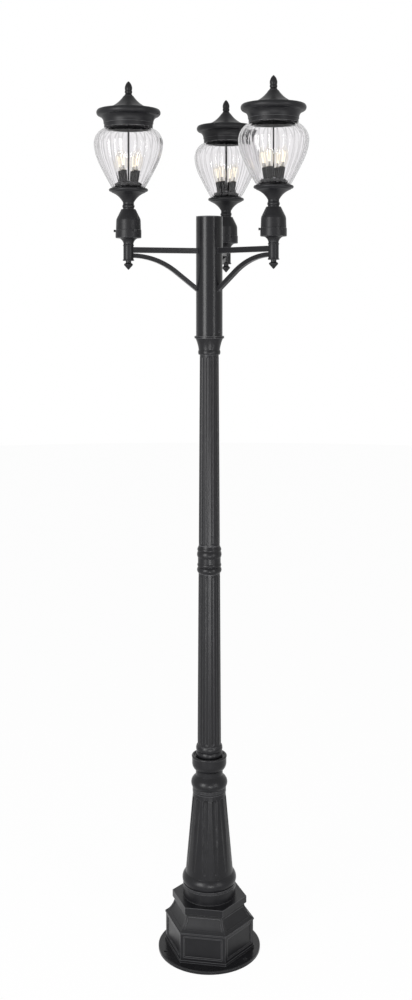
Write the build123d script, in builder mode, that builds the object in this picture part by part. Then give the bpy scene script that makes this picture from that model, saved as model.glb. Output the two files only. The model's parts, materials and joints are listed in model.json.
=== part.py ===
from build123d import *

# Triple head lamp post in cast aluminium. Millimetres, +Z up, origin on the post's axis at the
# underside of the base plate, +Y through the rear arm.

import os
from math import cos, radians, sin, sqrt, tan

os.makedirs("parts", exist_ok=True)

# --- driving dimensions -------------------------------------------------------------------

# Clearances
FIT = 0.3  # between curved faces of pieces that move apart
RUN = 0.08  # of a shaft in the hole that it turns in
SEAT = 0.1  # between fixed pieces that slip into each other
WALL = 5.0  # of the hollow castings

# Arms and lanterns
ARM_ANGLES = {"rear": 90, "left": 210, "right": 330}
ARM_REACH = 286.0  # from the post's axis to a lantern's axis
ARM_BAR = 19.0  # side of the square tube
ARM_BAR_WALL = 2.0
ARM_SOCKET_DEPTH = 6.0  # how far a bar or brace enters the stem
HUB_ENTRY = 3.0  # how far a bar or brace stands into the hub
BRACE_BAR = 15.0
BRACE_DROP = 19.0  # from the arm's centre line to the brace's
BRACE_RADIUS = 250.0
BRACE_SLOPE = 38.0  # degrees, where the brace runs on straight

# Base plate
PLATE_RADIUS = 174.5
PLATE_THICK = 10.0
PLATE_EDGE = 2.0  # chamfer
ANCHOR_CIRCLE = 315.0  # pitch circle
ANCHOR_HOLE = 13.0
ANCHOR_COUNT = 3
CABLE_HOLE = 100.0
BASE_TURN = 3.0  # degrees that the base stands round from the arms

# Pedestal: radii are from the axis to a corner of the hexagon
PEDESTAL_FOOT = 155.0
PEDESTAL_FOOT_HEIGHT = 8.0
PEDESTAL_BODY = 152.0
PEDESTAL_BODY_HEIGHT = 86.0
PEDESTAL_BEAD_HEIGHT = 5.0
PEDESTAL_NECK = 121.0
PEDESTAL_HOLLOW_HEIGHT = 46.0
PEDESTAL_BAND = 129.0
PEDESTAL_BAND_HEIGHT = 22.0
PEDESTAL_STEP = 5.0  # slope under the band
PANEL_MARGIN = 11.0
PANEL_DEPTH = 1.4  # of each of the frame's two steps
PANEL_FOOT_MARGIN = 8.0
PANEL_STEP = 4.0
COVE_BORDER = 7.0  # raised edge left round each hollow face
COVE_PANEL_DEPTH = 1.5

# Tapered shaft
SKIRT_RADIUS = 90.0
SKIRT_HEIGHT = 43.0
SKIRT_LEDGE = 2.0
RING_LINE = 1.5  # depth of the thin turned lines
RING_LINE_WIDTH = 2.5
RING_LINE_DROP = 5.0
TORUS_CREST_SHARE = 0.4  # of the torus's height, where it swells most
TORUS_CREST = 92.5
TORUS_HEIGHT = 36.0
SHAFT_FOOT = 81.3
SHAFT_TOP = 56.1
SHAFT_HEIGHT = 274.0
FLUTES = 12
FLUTE_SPAN = 18.0  # degrees of the round
SHAFT_FLUTE_DEPTH = 3.0
SHAFT_FLUTE_MARGIN = 12.0  # plain shaft left at each end

# Collar between the shaft and the lower post
COLLAR_RING = 57.6
COLLAR_RING_HEIGHT = 15.0
COLLAR_BEAD = 62.3
COLLAR_BEAD_HEIGHT = 32.0
COLLAR_NECK = 46.5
COLLAR_COVE_HEIGHT = 10.0
COLLAR_NECK_HEIGHT = 17.0
CUP_RIM = 59.0
CUP_SWELL_HEIGHT = 22.0
CUP_WALL_HEIGHT = 21.0
CUP_SWELL = 2.0  # how full the swell stands over a straight line
CUP_LIP = 8.0
CUP_DISH = 6.0
STACK_BEAD = 45.6
STACK_BEAD_HEIGHT = 20.0
STACK_ROOT = 43.2

# Fluted posts
LOWER_POST_FOOT = 40.5
LOWER_POST_TOP = 37.2
LOWER_POST_HEIGHT = 592.0
LOWER_POST_BORE = 32.0
UPPER_POST_FOOT = 36.4
UPPER_POST_TOP = 32.8
UPPER_POST_HEIGHT = 657.0
UPPER_POST_BORE = 28.0
POST_FLUTE_DEPTH = 1.8
POST_FLUTE_MARGIN = 6.0

# Collar at the middle joint
MID_BEAD = 42.4
MID_BEAD_HEIGHT = 22.0
MID_RING = 41.4
MID_RING_HEIGHT = 12.0
MID_BAND = 39.3
MID_BAND_HEIGHT = 19.0
MID_FILLET_HEIGHT = 8.0

# Top collar and the tenon in the hub
TOP_ROOT = 36.6
TOP_BEAD = 38.6
TOP_BEAD_HEIGHT = 16.0
TOP_FLARE_HEIGHT = 40.0
TOP_FLARE = 47.5
TOP_LIP = 51.2
TOP_LIP_HEIGHT = 8.0
TENON_HEIGHT = 90.0
COUPLER_LENGTH = 60.0  # how far a coupler stands into each post
COUPLER_WALL = 3.0

# Hub
HUB_RADIUS = 45.8
HUB_WALL = 4.0
HUB_HEIGHT = 409.0
HUB_CAP_THICK = 3.0
HUB_CAP_SPIGOT = 10.0
ARM_DROP = 119.0  # from the hub's top to the arm's centre line
HUB_SCREW_HEIGHT = 16.0  # above the hub's foot
HUB_SCREW = 4.0  # radius

# Stem: heights are measured down from the lantern's foot
STEM_RADIUS = 17.2
STEM_ARM = 40.0  # down to the arm's centre line
STEM_LENGTH = 72.0
STEM_RING = 18.8
STEM_RING_HEIGHT = 5.0
STEM_NECK = 16.8
STEM_NECK_DROP = 22.0
STEM_FOOT_BEAD = 19.4
STEM_FOOT_HEIGHT = 5.0
STEM_BORE = 7.0
LANTERN_TENON = 38.0
LANTERN_TENON_WALL = 4.0
LANTERN_TENON_HEIGHT = 58.0

# Drop finial
DROP_STUD = 4.9
DROP_STUD_LENGTH = 12.0
DROP_NECK = 9.3
DROP_NECK_HEIGHT = 7.0
DROP_CREST = 15.4
DROP_SHOULDER = 7.0
DROP_SWELL = 1.2  # how far inside the crest the shoulder turns
DROP_HEIGHT = 30.0
TIP_FLAT = 1.2  # blunt tip of an acorn

# Fitter cup
CUP_RADIUS = 42.2
CUP_BAND = 43.6
CUP_BAND_HEIGHT = 28.0
CUP_BAND_EDGE = 1.4
CUP_SIDE_HEIGHT = 64.0
CUP_SHOULDER = 39.5
CUP_TOP = 24.3
CUP_HEIGHT = 97.0
CUP_CROWN = 7.0  # thickness of the crown
THUMB_SCREW = 2.5  # radius
THUMB_HEAD = 4.2
THUMB_HEAD_LENGTH = 5.0
THUMB_NECK = 1.0  # of the screw, seen between the band and the head
THUMB_HEIGHT = 24.0
THUMB_COUNT = 3
THUMB_TURN = 72.5

# Holder pan
PAN_NECK = 18.6
PAN_BEAD = 20.8
PAN_BEAD_FOOT = 4.0
PAN_BEAD_HEIGHT = 12.0
PAN_FLARE_FOOT = 23.0
PAN_FLARE_TOP = 56.5
PAN_FLARE_MIDDLE = 34.0
PAN_FLARE_MIDDLE_HEIGHT = 43.0
PAN_FLARE_HEIGHT = 56.5
PAN_EDGE = 3.0  # slope between the flare and the rolled rim
PAN_ROLL_FOOT = 60.0
PAN_RIM = 66.0
PAN_LIP = 62.0
PAN_HEIGHT = 70.0
PAN_SEAT_DEPTH = 2.0
PAN_BORE = 12.0
NIPPLE = 6.3
NIPPLE_BORE = 3.2
NIPPLE_STAND = 7.0  # past each face that its nuts clamp
NUT_SIZE = 16.0
NUT_THICK = 5.0

# Socket plate, sleeves and sockets
SOCKET_PLATE = 49.0
SOCKET_PLATE_STEP = 44.5
SOCKET_PLATE_TOP = 41.0
SOCKET_PLATE_HEIGHT = 22.0
SOCKET_STEP_HEIGHT = 8.0
PLATE_SHEET = 3.0
LAMPS = 4
LAMP_CIRCLE = 26.0  # where a sleeve's axis meets the plate
LAMP_LEAN = 8.0  # degrees
LAMP_TURN = 75.0
SLEEVE_RADIUS = 10.5
SLEEVE_WALL = 1.2
SLEEVE_LENGTH = 40.5
SOCKET_BORE_DEPTH = 24.0
SOCKET_RECESS = 2.0

# Candle bulb
BULB_BASE = 6.0
BULB_BASE_LENGTH = 22.0
BULB_NECK = 7.6
BULB_CREST = 16.5
BULB_CREST_HEIGHT = 30.0
BULB_HEIGHT = 76.0
BULB_TIP = 3.0
BULB_TIP_HEIGHT = 68.0

# Globe
GLASS = 3.0
GLOBE_FOOT = 54.0
GLOBE_LOWER = 78.8
GLOBE_LOWER_HEIGHT = 44.0
GLOBE_UPPER = 101.0
GLOBE_UPPER_HEIGHT = 88.0
GLOBE_CREST = 117.0
GLOBE_CREST_HEIGHT = 146.0
GLOBE_NECK = 77.5
GLOBE_SHOULDER_HEIGHT = 206.5
GLOBE_HEIGHT = 216.0
RIBS = 24
RIB_SPAN = 3.0  # degrees of the round
RIB_PROUD = 1.4
RIB_STOP = 9.0  # below the shoulder

# Roof
ROOF_WALL = 3.0
ROOF_COLLAR = 82.0
ROOF_COLLAR_HEIGHT = 14.0
ROOF_STEP = 2.0  # the narrow step over the collar
ROOF_COVE = 95.0
ROOF_COVE_HEIGHT = 21.0
ROOF_COVE_HOLLOW = 3.4  # how far the cove lies inside a straight line
ROOF_BRIM_FOOT = 102.0
ROOF_BRIM_LIFT = 3.0
ROOF_BRIM = 108.3
ROOF_BRIM_HEIGHT = 20.0
ROOF_BRIM_TOP = 104.0
ROOF_SWEEP_MIDDLE = 52.0
ROOF_SWEEP_RISE = 14.0  # of the hollow roof line at its middle
ROOF_CROWN = 17.0
ROOF_HEIGHT = 107.0

# Finial and rod
FINIAL_DISC = 14.4
FINIAL_DISC_HEIGHT = 4.0
FINIAL_NECK = 9.7
FINIAL_NECK_HEIGHT = 5.0
FINIAL_BEAD = 12.7
FINIAL_BEAD_HEIGHT = 10.0
FINIAL_ROOT = 11.5
FINIAL_ACORN = 12.6
FINIAL_SHOULDER = 10.4
FINIAL_HEIGHT = 50.0
FINIAL_TIP = 13.0
ROD = 3.0
ROD_GRIP = 24.0  # how far the rod stands into the finial

# --- places worked out from them ----------------------------------------------------------

PEDESTAL_HEIGHT = (
    PEDESTAL_FOOT_HEIGHT
    + PEDESTAL_BODY_HEIGHT
    + PEDESTAL_BEAD_HEIGHT
    + PEDESTAL_HOLLOW_HEIGHT
    + PEDESTAL_STEP
    + PEDESTAL_BAND_HEIGHT
)
PEDESTAL_TOP_Z = PLATE_THICK + PEDESTAL_HEIGHT
SHAFT_Z = PEDESTAL_TOP_Z + SKIRT_HEIGHT + TORUS_HEIGHT
SHAFT_TOP_Z = SHAFT_Z + SHAFT_HEIGHT
CUP_FOOT_Z = SHAFT_TOP_Z + COLLAR_RING_HEIGHT + COLLAR_BEAD_HEIGHT + COLLAR_COVE_HEIGHT + COLLAR_NECK_HEIGHT
CUP_TOP_Z = CUP_FOOT_Z + CUP_SWELL_HEIGHT + CUP_WALL_HEIGHT + CUP_LIP
LOWER_POST_Z = CUP_TOP_Z - CUP_DISH + 2 * STACK_BEAD_HEIGHT
MID_COLLAR_Z = LOWER_POST_Z + LOWER_POST_HEIGHT
MID_COLLAR_HEIGHT = 2 * MID_BEAD_HEIGHT + 2 * MID_RING_HEIGHT + MID_BAND_HEIGHT + MID_FILLET_HEIGHT
UPPER_POST_Z = MID_COLLAR_Z + MID_COLLAR_HEIGHT
TOP_COLLAR_Z = UPPER_POST_Z + UPPER_POST_HEIGHT
HUB_Z = TOP_COLLAR_Z + TOP_BEAD_HEIGHT + TOP_FLARE_HEIGHT + TOP_LIP_HEIGHT
HUB_TOP_Z = HUB_Z + HUB_HEIGHT + HUB_CAP_THICK
ARM_Z = HUB_TOP_Z - ARM_DROP
LANTERN_Z = ARM_Z + STEM_ARM
HUB_BORE = HUB_RADIUS - HUB_WALL
STEM_SOCKET = STEM_RADIUS - ARM_SOCKET_DEPTH
CUP_BORE = LANTERN_TENON + FIT
PAN_Z = CUP_HEIGHT
PAN_FLOOR_Z = PAN_Z + PAN_HEIGHT - PAN_SEAT_DEPTH
PLATE_TOP_Z = PAN_FLOOR_Z + SOCKET_PLATE_HEIGHT
ROOF_Z = PAN_FLOOR_Z + GLOBE_SHOULDER_HEIGHT + FIT
FINIAL_Z = ROOF_Z + ROOF_HEIGHT
SLEEVE_BORE = SLEEVE_RADIUS - SLEEVE_WALL


# --- helpers ------------------------------------------------------------------------------


def bead(root, crest, foot, height):
    """Draws a half-round bead on a turned outline, from its foot upwards."""
    ThreePointArc((root, foot), (crest, foot + height / 2), (root, foot + height))


def cut_flutes(foot_radius, top_radius, foot_z, top_z, depth):
    """Cuts round-ended flutes along a tapered round body, which is the part being built."""
    half_span = radians(FLUTE_SPAN / 2)
    low_half = foot_radius * sin(half_span)
    high_half = top_radius * sin(half_span)
    low_cutter = (low_half**2 + depth**2) / (2 * depth)
    high_cutter = (high_half**2 + depth**2) / (2 * depth)
    low = Vector(foot_radius + low_cutter - depth, 0, foot_z + low_half)
    high = Vector(top_radius + high_cutter - depth, 0, top_z - high_half)
    along = Plane(origin=low, z_dir=high - low)
    with PolarLocations(0, FLUTES):
        with Locations(along.location):
            Cone(
                low_cutter,
                high_cutter,
                (high - low).length,
                align=(Align.CENTER, Align.CENTER, Align.MIN),
                mode=Mode.SUBTRACT,
            )
        with Locations(low):
            Sphere(low_cutter, mode=Mode.SUBTRACT)
        with Locations(high):
            Sphere(high_cutter, mode=Mode.SUBTRACT)


def write(piece, name):
    """Labels a finished piece and writes it."""
    piece.part.label = name
    export_step(piece.part, f"parts/{name}.step")


def write_at(piece, name, spots):
    """Writes copies of a piece at the given places, as one node."""
    with BuildPart() as placed:
        with Locations(*spots):
            add(piece.part)
    write(placed, name)


def lantern_spot(angle, turned=False):
    """The place of a lantern's foot on its arm, turned to face the post where that matters."""
    return Location(
        (ARM_REACH * cos(radians(angle)), ARM_REACH * sin(radians(angle)), LANTERN_Z),
        (0, 0, angle if turned else 0),
    )


LANTERN_SPOTS = {side: lantern_spot(angle) for side, angle in ARM_ANGLES.items()}
STEM_SPOTS = {side: lantern_spot(angle, turned=True) for side, angle in ARM_ANGLES.items()}
ARM_SPOTS = {side: Location((0, 0, 0), (0, 0, angle)) for side, angle in ARM_ANGLES.items()}

# --- base plate ---------------------------------------------------------------------------

with BuildPart() as base_plate:
    Cylinder(PLATE_RADIUS, PLATE_THICK, align=(Align.CENTER, Align.CENTER, Align.MIN))
    chamfer(base_plate.edges().group_by(Axis.Z)[-1], PLATE_EDGE)
    with PolarLocations(ANCHOR_CIRCLE / 2, ANCHOR_COUNT, start_angle=ARM_ANGLES["rear"] + BASE_TURN):
        Hole(ANCHOR_HOLE / 2)
    Hole(CABLE_HOLE / 2)
write(base_plate, "base_plate")

# --- pedestal -----------------------------------------------------------------------------

FLAT = cos(radians(30))  # from a hexagon's corner radius to its flat


def cove_line(hollow_z, neck_z, inset):
    """Draws the hollow line of the pedestal's flats, set in by the given depth."""
    body = PEDESTAL_BODY * FLAT - inset
    neck = PEDESTAL_NECK * FLAT - inset
    shoulder = (body + neck) / 2 - PEDESTAL_HOLLOW_HEIGHT / 9
    ThreePointArc((body, hollow_z), (shoulder, (hollow_z + neck_z) / 2), (neck, neck_z))


def pedestal_outline(inset):
    """Draws half of the pedestal's outline on the flats, set in by the wall."""
    foot = PEDESTAL_FOOT * FLAT - inset
    body = PEDESTAL_BODY * FLAT - inset
    neck = PEDESTAL_NECK * FLAT - inset
    band = PEDESTAL_BAND * FLAT - inset
    foot_z = PLATE_THICK
    body_z = foot_z + PEDESTAL_FOOT_HEIGHT
    bead_z = body_z + PEDESTAL_BODY_HEIGHT
    hollow_z = bead_z + PEDESTAL_BEAD_HEIGHT
    neck_z = hollow_z + PEDESTAL_HOLLOW_HEIGHT
    band_z = neck_z + PEDESTAL_STEP
    top_z = PEDESTAL_TOP_Z - inset
    Polyline(
        (0, foot_z),
        (foot, foot_z),
        (foot, body_z),
        (body, body_z),
        (body, bead_z),
        (foot, bead_z),
        (foot, hollow_z),
        (body, hollow_z),
    )
    cove_line(hollow_z, neck_z, inset)
    Polyline((neck, neck_z), (band, band_z), (band, top_z), (0, top_z))
    Line((0, top_z), (0, foot_z))


def hexagonal_block(inset):
    """A mitred six-sided block: three slabs of the outline, crossed at 60 degrees."""
    with BuildPart() as block:
        for turn in range(3):
            facing = ARM_ANGLES["rear"] + BASE_TURN + 60 * turn
            with BuildSketch(Plane.XZ.rotated((0, 0, facing))):
                with BuildLine():
                    pedestal_outline(inset)
                make_face()
                mirror(about=Plane.YZ)
            extrude(amount=PLATE_RADIUS, both=True, mode=Mode.INTERSECT if turn else Mode.ADD)
    return block.part


def face_angle(face):
    """Where a face of the pedestal looks, in degrees round the axis."""
    return ARM_ANGLES["rear"] + BASE_TURN + 60 * face


def face_plane(face):
    """The plane of a lower face of the pedestal."""
    return Plane(
        origin=Vector(PEDESTAL_BODY * FLAT, 0, 0).rotate(Axis.Z, face_angle(face)),
        x_dir=Vector(0, 1, 0).rotate(Axis.Z, face_angle(face)),
        z_dir=Vector(1, 0, 0).rotate(Axis.Z, face_angle(face)),
    )


# The sunk panel of a hollow face: a thin skin of the face, cut to a wedge inside its mitres
with BuildPart() as cove_panel:
    hollow_z = PLATE_THICK + PEDESTAL_FOOT_HEIGHT + PEDESTAL_BODY_HEIGHT + PEDESTAL_BEAD_HEIGHT
    neck_z = hollow_z + PEDESTAL_HOLLOW_HEIGHT
    with BuildSketch(Plane.XZ):
        with BuildLine():
            cove_line(hollow_z, neck_z, COVE_PANEL_DEPTH)
            Line(
                (PEDESTAL_NECK * FLAT - COVE_PANEL_DEPTH, neck_z),
                (PEDESTAL_BODY * FLAT, neck_z),
            )
            Line((PEDESTAL_BODY * FLAT, neck_z), (PEDESTAL_BODY * FLAT, hollow_z))
            Line(
                (PEDESTAL_BODY * FLAT, hollow_z),
                (PEDESTAL_BODY * FLAT - COVE_PANEL_DEPTH, hollow_z),
            )
        make_face()
    extrude(amount=PLATE_RADIUS, both=True)
    with BuildSketch(Plane.XY.offset(hollow_z + COVE_BORDER)):
        reach = PLATE_RADIUS - 2 * COVE_BORDER
        Polygon(
            (2 * COVE_BORDER, 0),
            (PLATE_RADIUS, -reach * tan(radians(30))),
            (PLATE_RADIUS, reach * tan(radians(30))),
            align=None,
        )
    extrude(amount=PEDESTAL_HOLLOW_HEIGHT - 2 * COVE_BORDER, mode=Mode.INTERSECT)

with BuildPart() as pedestal:
    add(hexagonal_block(0))
    add(hexagonal_block(WALL), mode=Mode.SUBTRACT)
    with Locations((0, 0, PEDESTAL_TOP_Z)):
        Hole(SKIRT_RADIUS - 2 * WALL, depth=2 * WALL)
    with BuildSketch(*[face_plane(face) for face in range(6)]):
        with Locations((0, PLATE_THICK + PEDESTAL_FOOT_HEIGHT + PEDESTAL_BODY_HEIGHT / 2)):
            Rectangle(
                PEDESTAL_BODY - 2 * PANEL_MARGIN,
                PEDESTAL_BODY_HEIGHT - 2 * PANEL_FOOT_MARGIN,
            )
    extrude(amount=-PANEL_DEPTH, mode=Mode.SUBTRACT)
    with BuildSketch(*[face_plane(face) for face in range(6)]):
        with Locations((0, PLATE_THICK + PEDESTAL_FOOT_HEIGHT + PEDESTAL_BODY_HEIGHT / 2)):
            Rectangle(
                PEDESTAL_BODY - 2 * PANEL_MARGIN - 2 * PANEL_STEP,
                PEDESTAL_BODY_HEIGHT - 2 * PANEL_FOOT_MARGIN - 2 * PANEL_STEP,
            )
    extrude(amount=-2 * PANEL_DEPTH, mode=Mode.SUBTRACT)
    with Locations(*[Location((0, 0, 0), (0, 0, face_angle(face))) for face in range(6)]):
        add(cove_panel.part, mode=Mode.SUBTRACT)
write(pedestal, "pedestal")

# --- tapered shaft ------------------------------------------------------------------------

with BuildPart() as tapered_shaft:
    ledge_z = PEDESTAL_TOP_Z + SKIRT_HEIGHT
    line_z = ledge_z - RING_LINE_DROP
    with BuildSketch(Plane.XZ):
        with BuildLine():
            Polyline(
                (SKIRT_RADIUS - WALL, PEDESTAL_TOP_Z),
                (SKIRT_RADIUS, PEDESTAL_TOP_Z),
                (SKIRT_RADIUS, line_z - RING_LINE_WIDTH),
                (SKIRT_RADIUS - RING_LINE, line_z - RING_LINE_WIDTH),
                (SKIRT_RADIUS - RING_LINE, line_z),
                (SKIRT_RADIUS, line_z),
                (SKIRT_RADIUS, ledge_z),
                (SKIRT_RADIUS - SKIRT_LEDGE, ledge_z),
            )
            ThreePointArc(
                (SKIRT_RADIUS - SKIRT_LEDGE, ledge_z),
                (TORUS_CREST, ledge_z + TORUS_HEIGHT * TORUS_CREST_SHARE),
                (SHAFT_FOOT, SHAFT_Z),
            )
            Polyline(
                (SHAFT_FOOT, SHAFT_Z),
                (SHAFT_TOP, SHAFT_TOP_Z),
                (SHAFT_TOP - 2 * WALL, SHAFT_TOP_Z),
                (SHAFT_FOOT - 2 * WALL, SHAFT_Z),
                (SKIRT_RADIUS - WALL, ledge_z),
                (SKIRT_RADIUS - WALL, PEDESTAL_TOP_Z),
            )
        make_face()
    revolve(axis=Axis.Z)
    cut_flutes(
        SHAFT_FOOT,
        SHAFT_TOP,
        SHAFT_Z + SHAFT_FLUTE_MARGIN,
        SHAFT_TOP_Z - SHAFT_FLUTE_MARGIN,
        SHAFT_FLUTE_DEPTH,
    )
write(tapered_shaft, "tapered_shaft")

# --- collar between shaft and lower post --------------------------------------------------

with BuildPart() as shaft_collar:
    bead_z = SHAFT_TOP_Z + COLLAR_RING_HEIGHT
    line_z = bead_z - RING_LINE_DROP
    cove_z = bead_z + COLLAR_BEAD_HEIGHT
    neck_z = cove_z + COLLAR_COVE_HEIGHT
    wall_z = CUP_FOOT_Z + CUP_SWELL_HEIGHT
    lip_z = wall_z + CUP_WALL_HEIGHT
    stack_z = CUP_TOP_Z - CUP_DISH
    with BuildSketch(Plane.XZ):
        with BuildLine():
            Polyline(
                (LOWER_POST_BORE, SHAFT_TOP_Z),
                (COLLAR_RING, SHAFT_TOP_Z),
                (COLLAR_RING, line_z - RING_LINE_WIDTH),
                (COLLAR_RING - RING_LINE, line_z - RING_LINE_WIDTH),
                (COLLAR_RING - RING_LINE, line_z),
                (COLLAR_RING, line_z),
                (COLLAR_RING, bead_z),
                (SHAFT_TOP, bead_z),
            )
            bead(SHAFT_TOP, COLLAR_BEAD, bead_z, COLLAR_BEAD_HEIGHT)
            Polyline((SHAFT_TOP, cove_z), (COLLAR_NECK, neck_z), (COLLAR_NECK, CUP_FOOT_Z))
            ThreePointArc(
                (COLLAR_NECK, CUP_FOOT_Z),
                ((COLLAR_NECK + CUP_RIM) / 2 + CUP_SWELL, CUP_FOOT_Z + CUP_SWELL_HEIGHT * 0.4),
                (CUP_RIM, wall_z),
            )
            Line((CUP_RIM, wall_z), (CUP_RIM, lip_z))
            ThreePointArc(
                (CUP_RIM, lip_z),
                (CUP_RIM - CUP_LIP / 2, CUP_TOP_Z),
                (CUP_RIM - CUP_LIP, CUP_TOP_Z - CUP_LIP / 2),
            )
            Line((CUP_RIM - CUP_LIP, CUP_TOP_Z - CUP_LIP / 2), (STACK_ROOT, stack_z))
            bead(STACK_ROOT, STACK_BEAD, stack_z, STACK_BEAD_HEIGHT)
            bead(STACK_ROOT, STACK_BEAD, stack_z + STACK_BEAD_HEIGHT, STACK_BEAD_HEIGHT)
            Polyline((STACK_ROOT, LOWER_POST_Z), (LOWER_POST_BORE, LOWER_POST_Z), (LOWER_POST_BORE, SHAFT_TOP_Z))
        make_face()
    revolve(axis=Axis.Z)
write(shaft_collar, "shaft_collar")


# --- fluted posts -------------------------------------------------------------------------


def fluted_post(foot_radius, top_radius, bore, foot_z, height):
    """A tapered tube with flutes that stop short of its ends."""
    with BuildPart() as post:
        with Locations((0, 0, foot_z)):
            Cone(foot_radius, top_radius, height, align=(Align.CENTER, Align.CENTER, Align.MIN))
            Cylinder(bore, height, align=(Align.CENTER, Align.CENTER, Align.MIN), mode=Mode.SUBTRACT)
        cut_flutes(
            foot_radius,
            top_radius,
            foot_z + POST_FLUTE_MARGIN,
            foot_z + height - POST_FLUTE_MARGIN,
            POST_FLUTE_DEPTH,
        )
    return post


lower_post = fluted_post(LOWER_POST_FOOT, LOWER_POST_TOP, LOWER_POST_BORE, LOWER_POST_Z, LOWER_POST_HEIGHT)
write(lower_post, "lower_post")
upper_post = fluted_post(UPPER_POST_FOOT, UPPER_POST_TOP, UPPER_POST_BORE, UPPER_POST_Z, UPPER_POST_HEIGHT)
write(upper_post, "upper_post")

# --- collar at the middle joint -----------------------------------------------------------

with BuildPart() as mid_collar:
    ring_z = MID_COLLAR_Z + MID_BEAD_HEIGHT
    band_z = ring_z + MID_RING_HEIGHT
    upper_bead_z = band_z + MID_BAND_HEIGHT
    upper_ring_z = upper_bead_z + MID_BEAD_HEIGHT
    fillet_z = upper_ring_z + MID_RING_HEIGHT
    with BuildSketch(Plane.XZ):
        with BuildLine():
            Line((UPPER_POST_BORE, MID_COLLAR_Z), (LOWER_POST_TOP, MID_COLLAR_Z))
            bead(LOWER_POST_TOP, MID_BEAD, MID_COLLAR_Z, MID_BEAD_HEIGHT)
            Line((LOWER_POST_TOP, ring_z), (MID_BAND, ring_z))
            bead(MID_BAND, MID_RING, ring_z, MID_RING_HEIGHT)
            Line((MID_BAND, band_z), (MID_BAND, upper_bead_z))
            bead(MID_BAND, MID_BEAD, upper_bead_z, MID_BEAD_HEIGHT)
            bead(MID_BAND, MID_RING, upper_ring_z, MID_RING_HEIGHT)
            Polyline(
                (MID_BAND, fillet_z),
                (UPPER_POST_FOOT, UPPER_POST_Z),
                (UPPER_POST_BORE, UPPER_POST_Z),
                (UPPER_POST_BORE, MID_COLLAR_Z),
            )
        make_face()
    revolve(axis=Axis.Z)
write(mid_collar, "mid_collar")

# --- top collar with the hub's tenon ------------------------------------------------------

with BuildPart() as top_collar:
    bead_z = TOP_COLLAR_Z
    flare_z = bead_z + TOP_BEAD_HEIGHT
    lip_z = flare_z + TOP_FLARE_HEIGHT
    tenon = HUB_BORE - SEAT
    with BuildSketch(Plane.XZ):
        with BuildLine():
            Line((UPPER_POST_BORE, bead_z), (UPPER_POST_TOP, bead_z))
            Line((UPPER_POST_TOP, bead_z), (TOP_ROOT, bead_z))
            bead(TOP_ROOT, TOP_BEAD, bead_z, TOP_BEAD_HEIGHT)
            ThreePointArc(
                (TOP_ROOT, flare_z),
                (TOP_ROOT + (TOP_FLARE - TOP_ROOT) * 0.35, flare_z + TOP_FLARE_HEIGHT / 2),
                (TOP_FLARE, lip_z),
            )
            Polyline(
                (TOP_FLARE, lip_z),
                (TOP_LIP, lip_z),
                (TOP_LIP, HUB_Z),
                (tenon, HUB_Z),
                (tenon, HUB_Z + TENON_HEIGHT),
                (UPPER_POST_BORE, HUB_Z + TENON_HEIGHT),
                (UPPER_POST_BORE, bead_z),
            )
        make_face()
    revolve(axis=Axis.Z)
write(top_collar, "top_collar")

# --- couplers inside the joints -----------------------------------------------------------


def coupler(joint_foot, joint_top, low_bore, high_bore):
    """Adds a threaded sleeve that joins two posts through a collar."""
    inside = high_bore - SEAT - COUPLER_WALL
    length = joint_top - joint_foot + 2 * COUPLER_LENGTH
    with Locations((0, 0, joint_foot)):
        Cylinder(low_bore - SEAT, COUPLER_LENGTH, align=(Align.CENTER, Align.CENTER, Align.MAX))
        Cylinder(high_bore - SEAT, length - COUPLER_LENGTH, align=(Align.CENTER, Align.CENTER, Align.MIN))
    with Locations((0, 0, joint_foot - COUPLER_LENGTH)):
        Cylinder(inside, length, align=(Align.CENTER, Align.CENTER, Align.MIN), mode=Mode.SUBTRACT)


with BuildPart() as post_couplers:
    coupler(SHAFT_TOP_Z + COUPLER_LENGTH, LOWER_POST_Z, LOWER_POST_BORE, LOWER_POST_BORE)
    coupler(MID_COLLAR_Z, UPPER_POST_Z, LOWER_POST_BORE, UPPER_POST_BORE)
    coupler(TOP_COLLAR_Z, TOP_COLLAR_Z, UPPER_POST_BORE, UPPER_POST_BORE)
write(post_couplers, "post_couplers")

# --- arms ---------------------------------------------------------------------------------

BAR_INNER = HUB_BORE - HUB_ENTRY
BAR_OUTER = ARM_REACH - STEM_SOCKET
BRACE_Z = ARM_Z - BRACE_DROP

with BuildPart() as arm_bar:
    with BuildSketch(Plane.YZ.offset(BAR_INNER)):
        with Locations((0, ARM_Z)):
            Rectangle(ARM_BAR, ARM_BAR)
            Rectangle(ARM_BAR - 2 * ARM_BAR_WALL, ARM_BAR - 2 * ARM_BAR_WALL, mode=Mode.SUBTRACT)
    extrude(amount=BAR_OUTER - BAR_INNER)


def brace_solid(side):
    """The curved bar from the stem to inside the hub, of the given side."""
    with BuildPart() as brace:
        with BuildLine(Plane.XZ) as centre_line:
            bend = JernArc(
                start=(BAR_OUTER, BRACE_Z),
                tangent=(-1, 0),
                radius=BRACE_RADIUS,
                arc_size=BRACE_SLOPE,
            )
            run = bend @ 1
            straight = (run.X - BAR_INNER) / cos(radians(BRACE_SLOPE))
            Line(bend @ 1, bend @ 1 + (bend % 1) * straight)
        with BuildSketch(Plane(origin=(BAR_OUTER, 0, BRACE_Z), z_dir=(-1, 0, 0))):
            Rectangle(side, side)
        sweep(path=centre_line.line)
    return brace


arm_brace = brace_solid(BRACE_BAR)
brace_cutter = brace_solid(BRACE_BAR + 2 * SEAT)

for side, spot in ARM_SPOTS.items():
    write_at(arm_bar, f"arm_bar_{side}", [spot])
    write_at(arm_brace, f"arm_brace_{side}", [spot])

# --- hub ----------------------------------------------------------------------------------

HUB_SCREW_Z = HUB_Z + HUB_SCREW_HEIGHT

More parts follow.
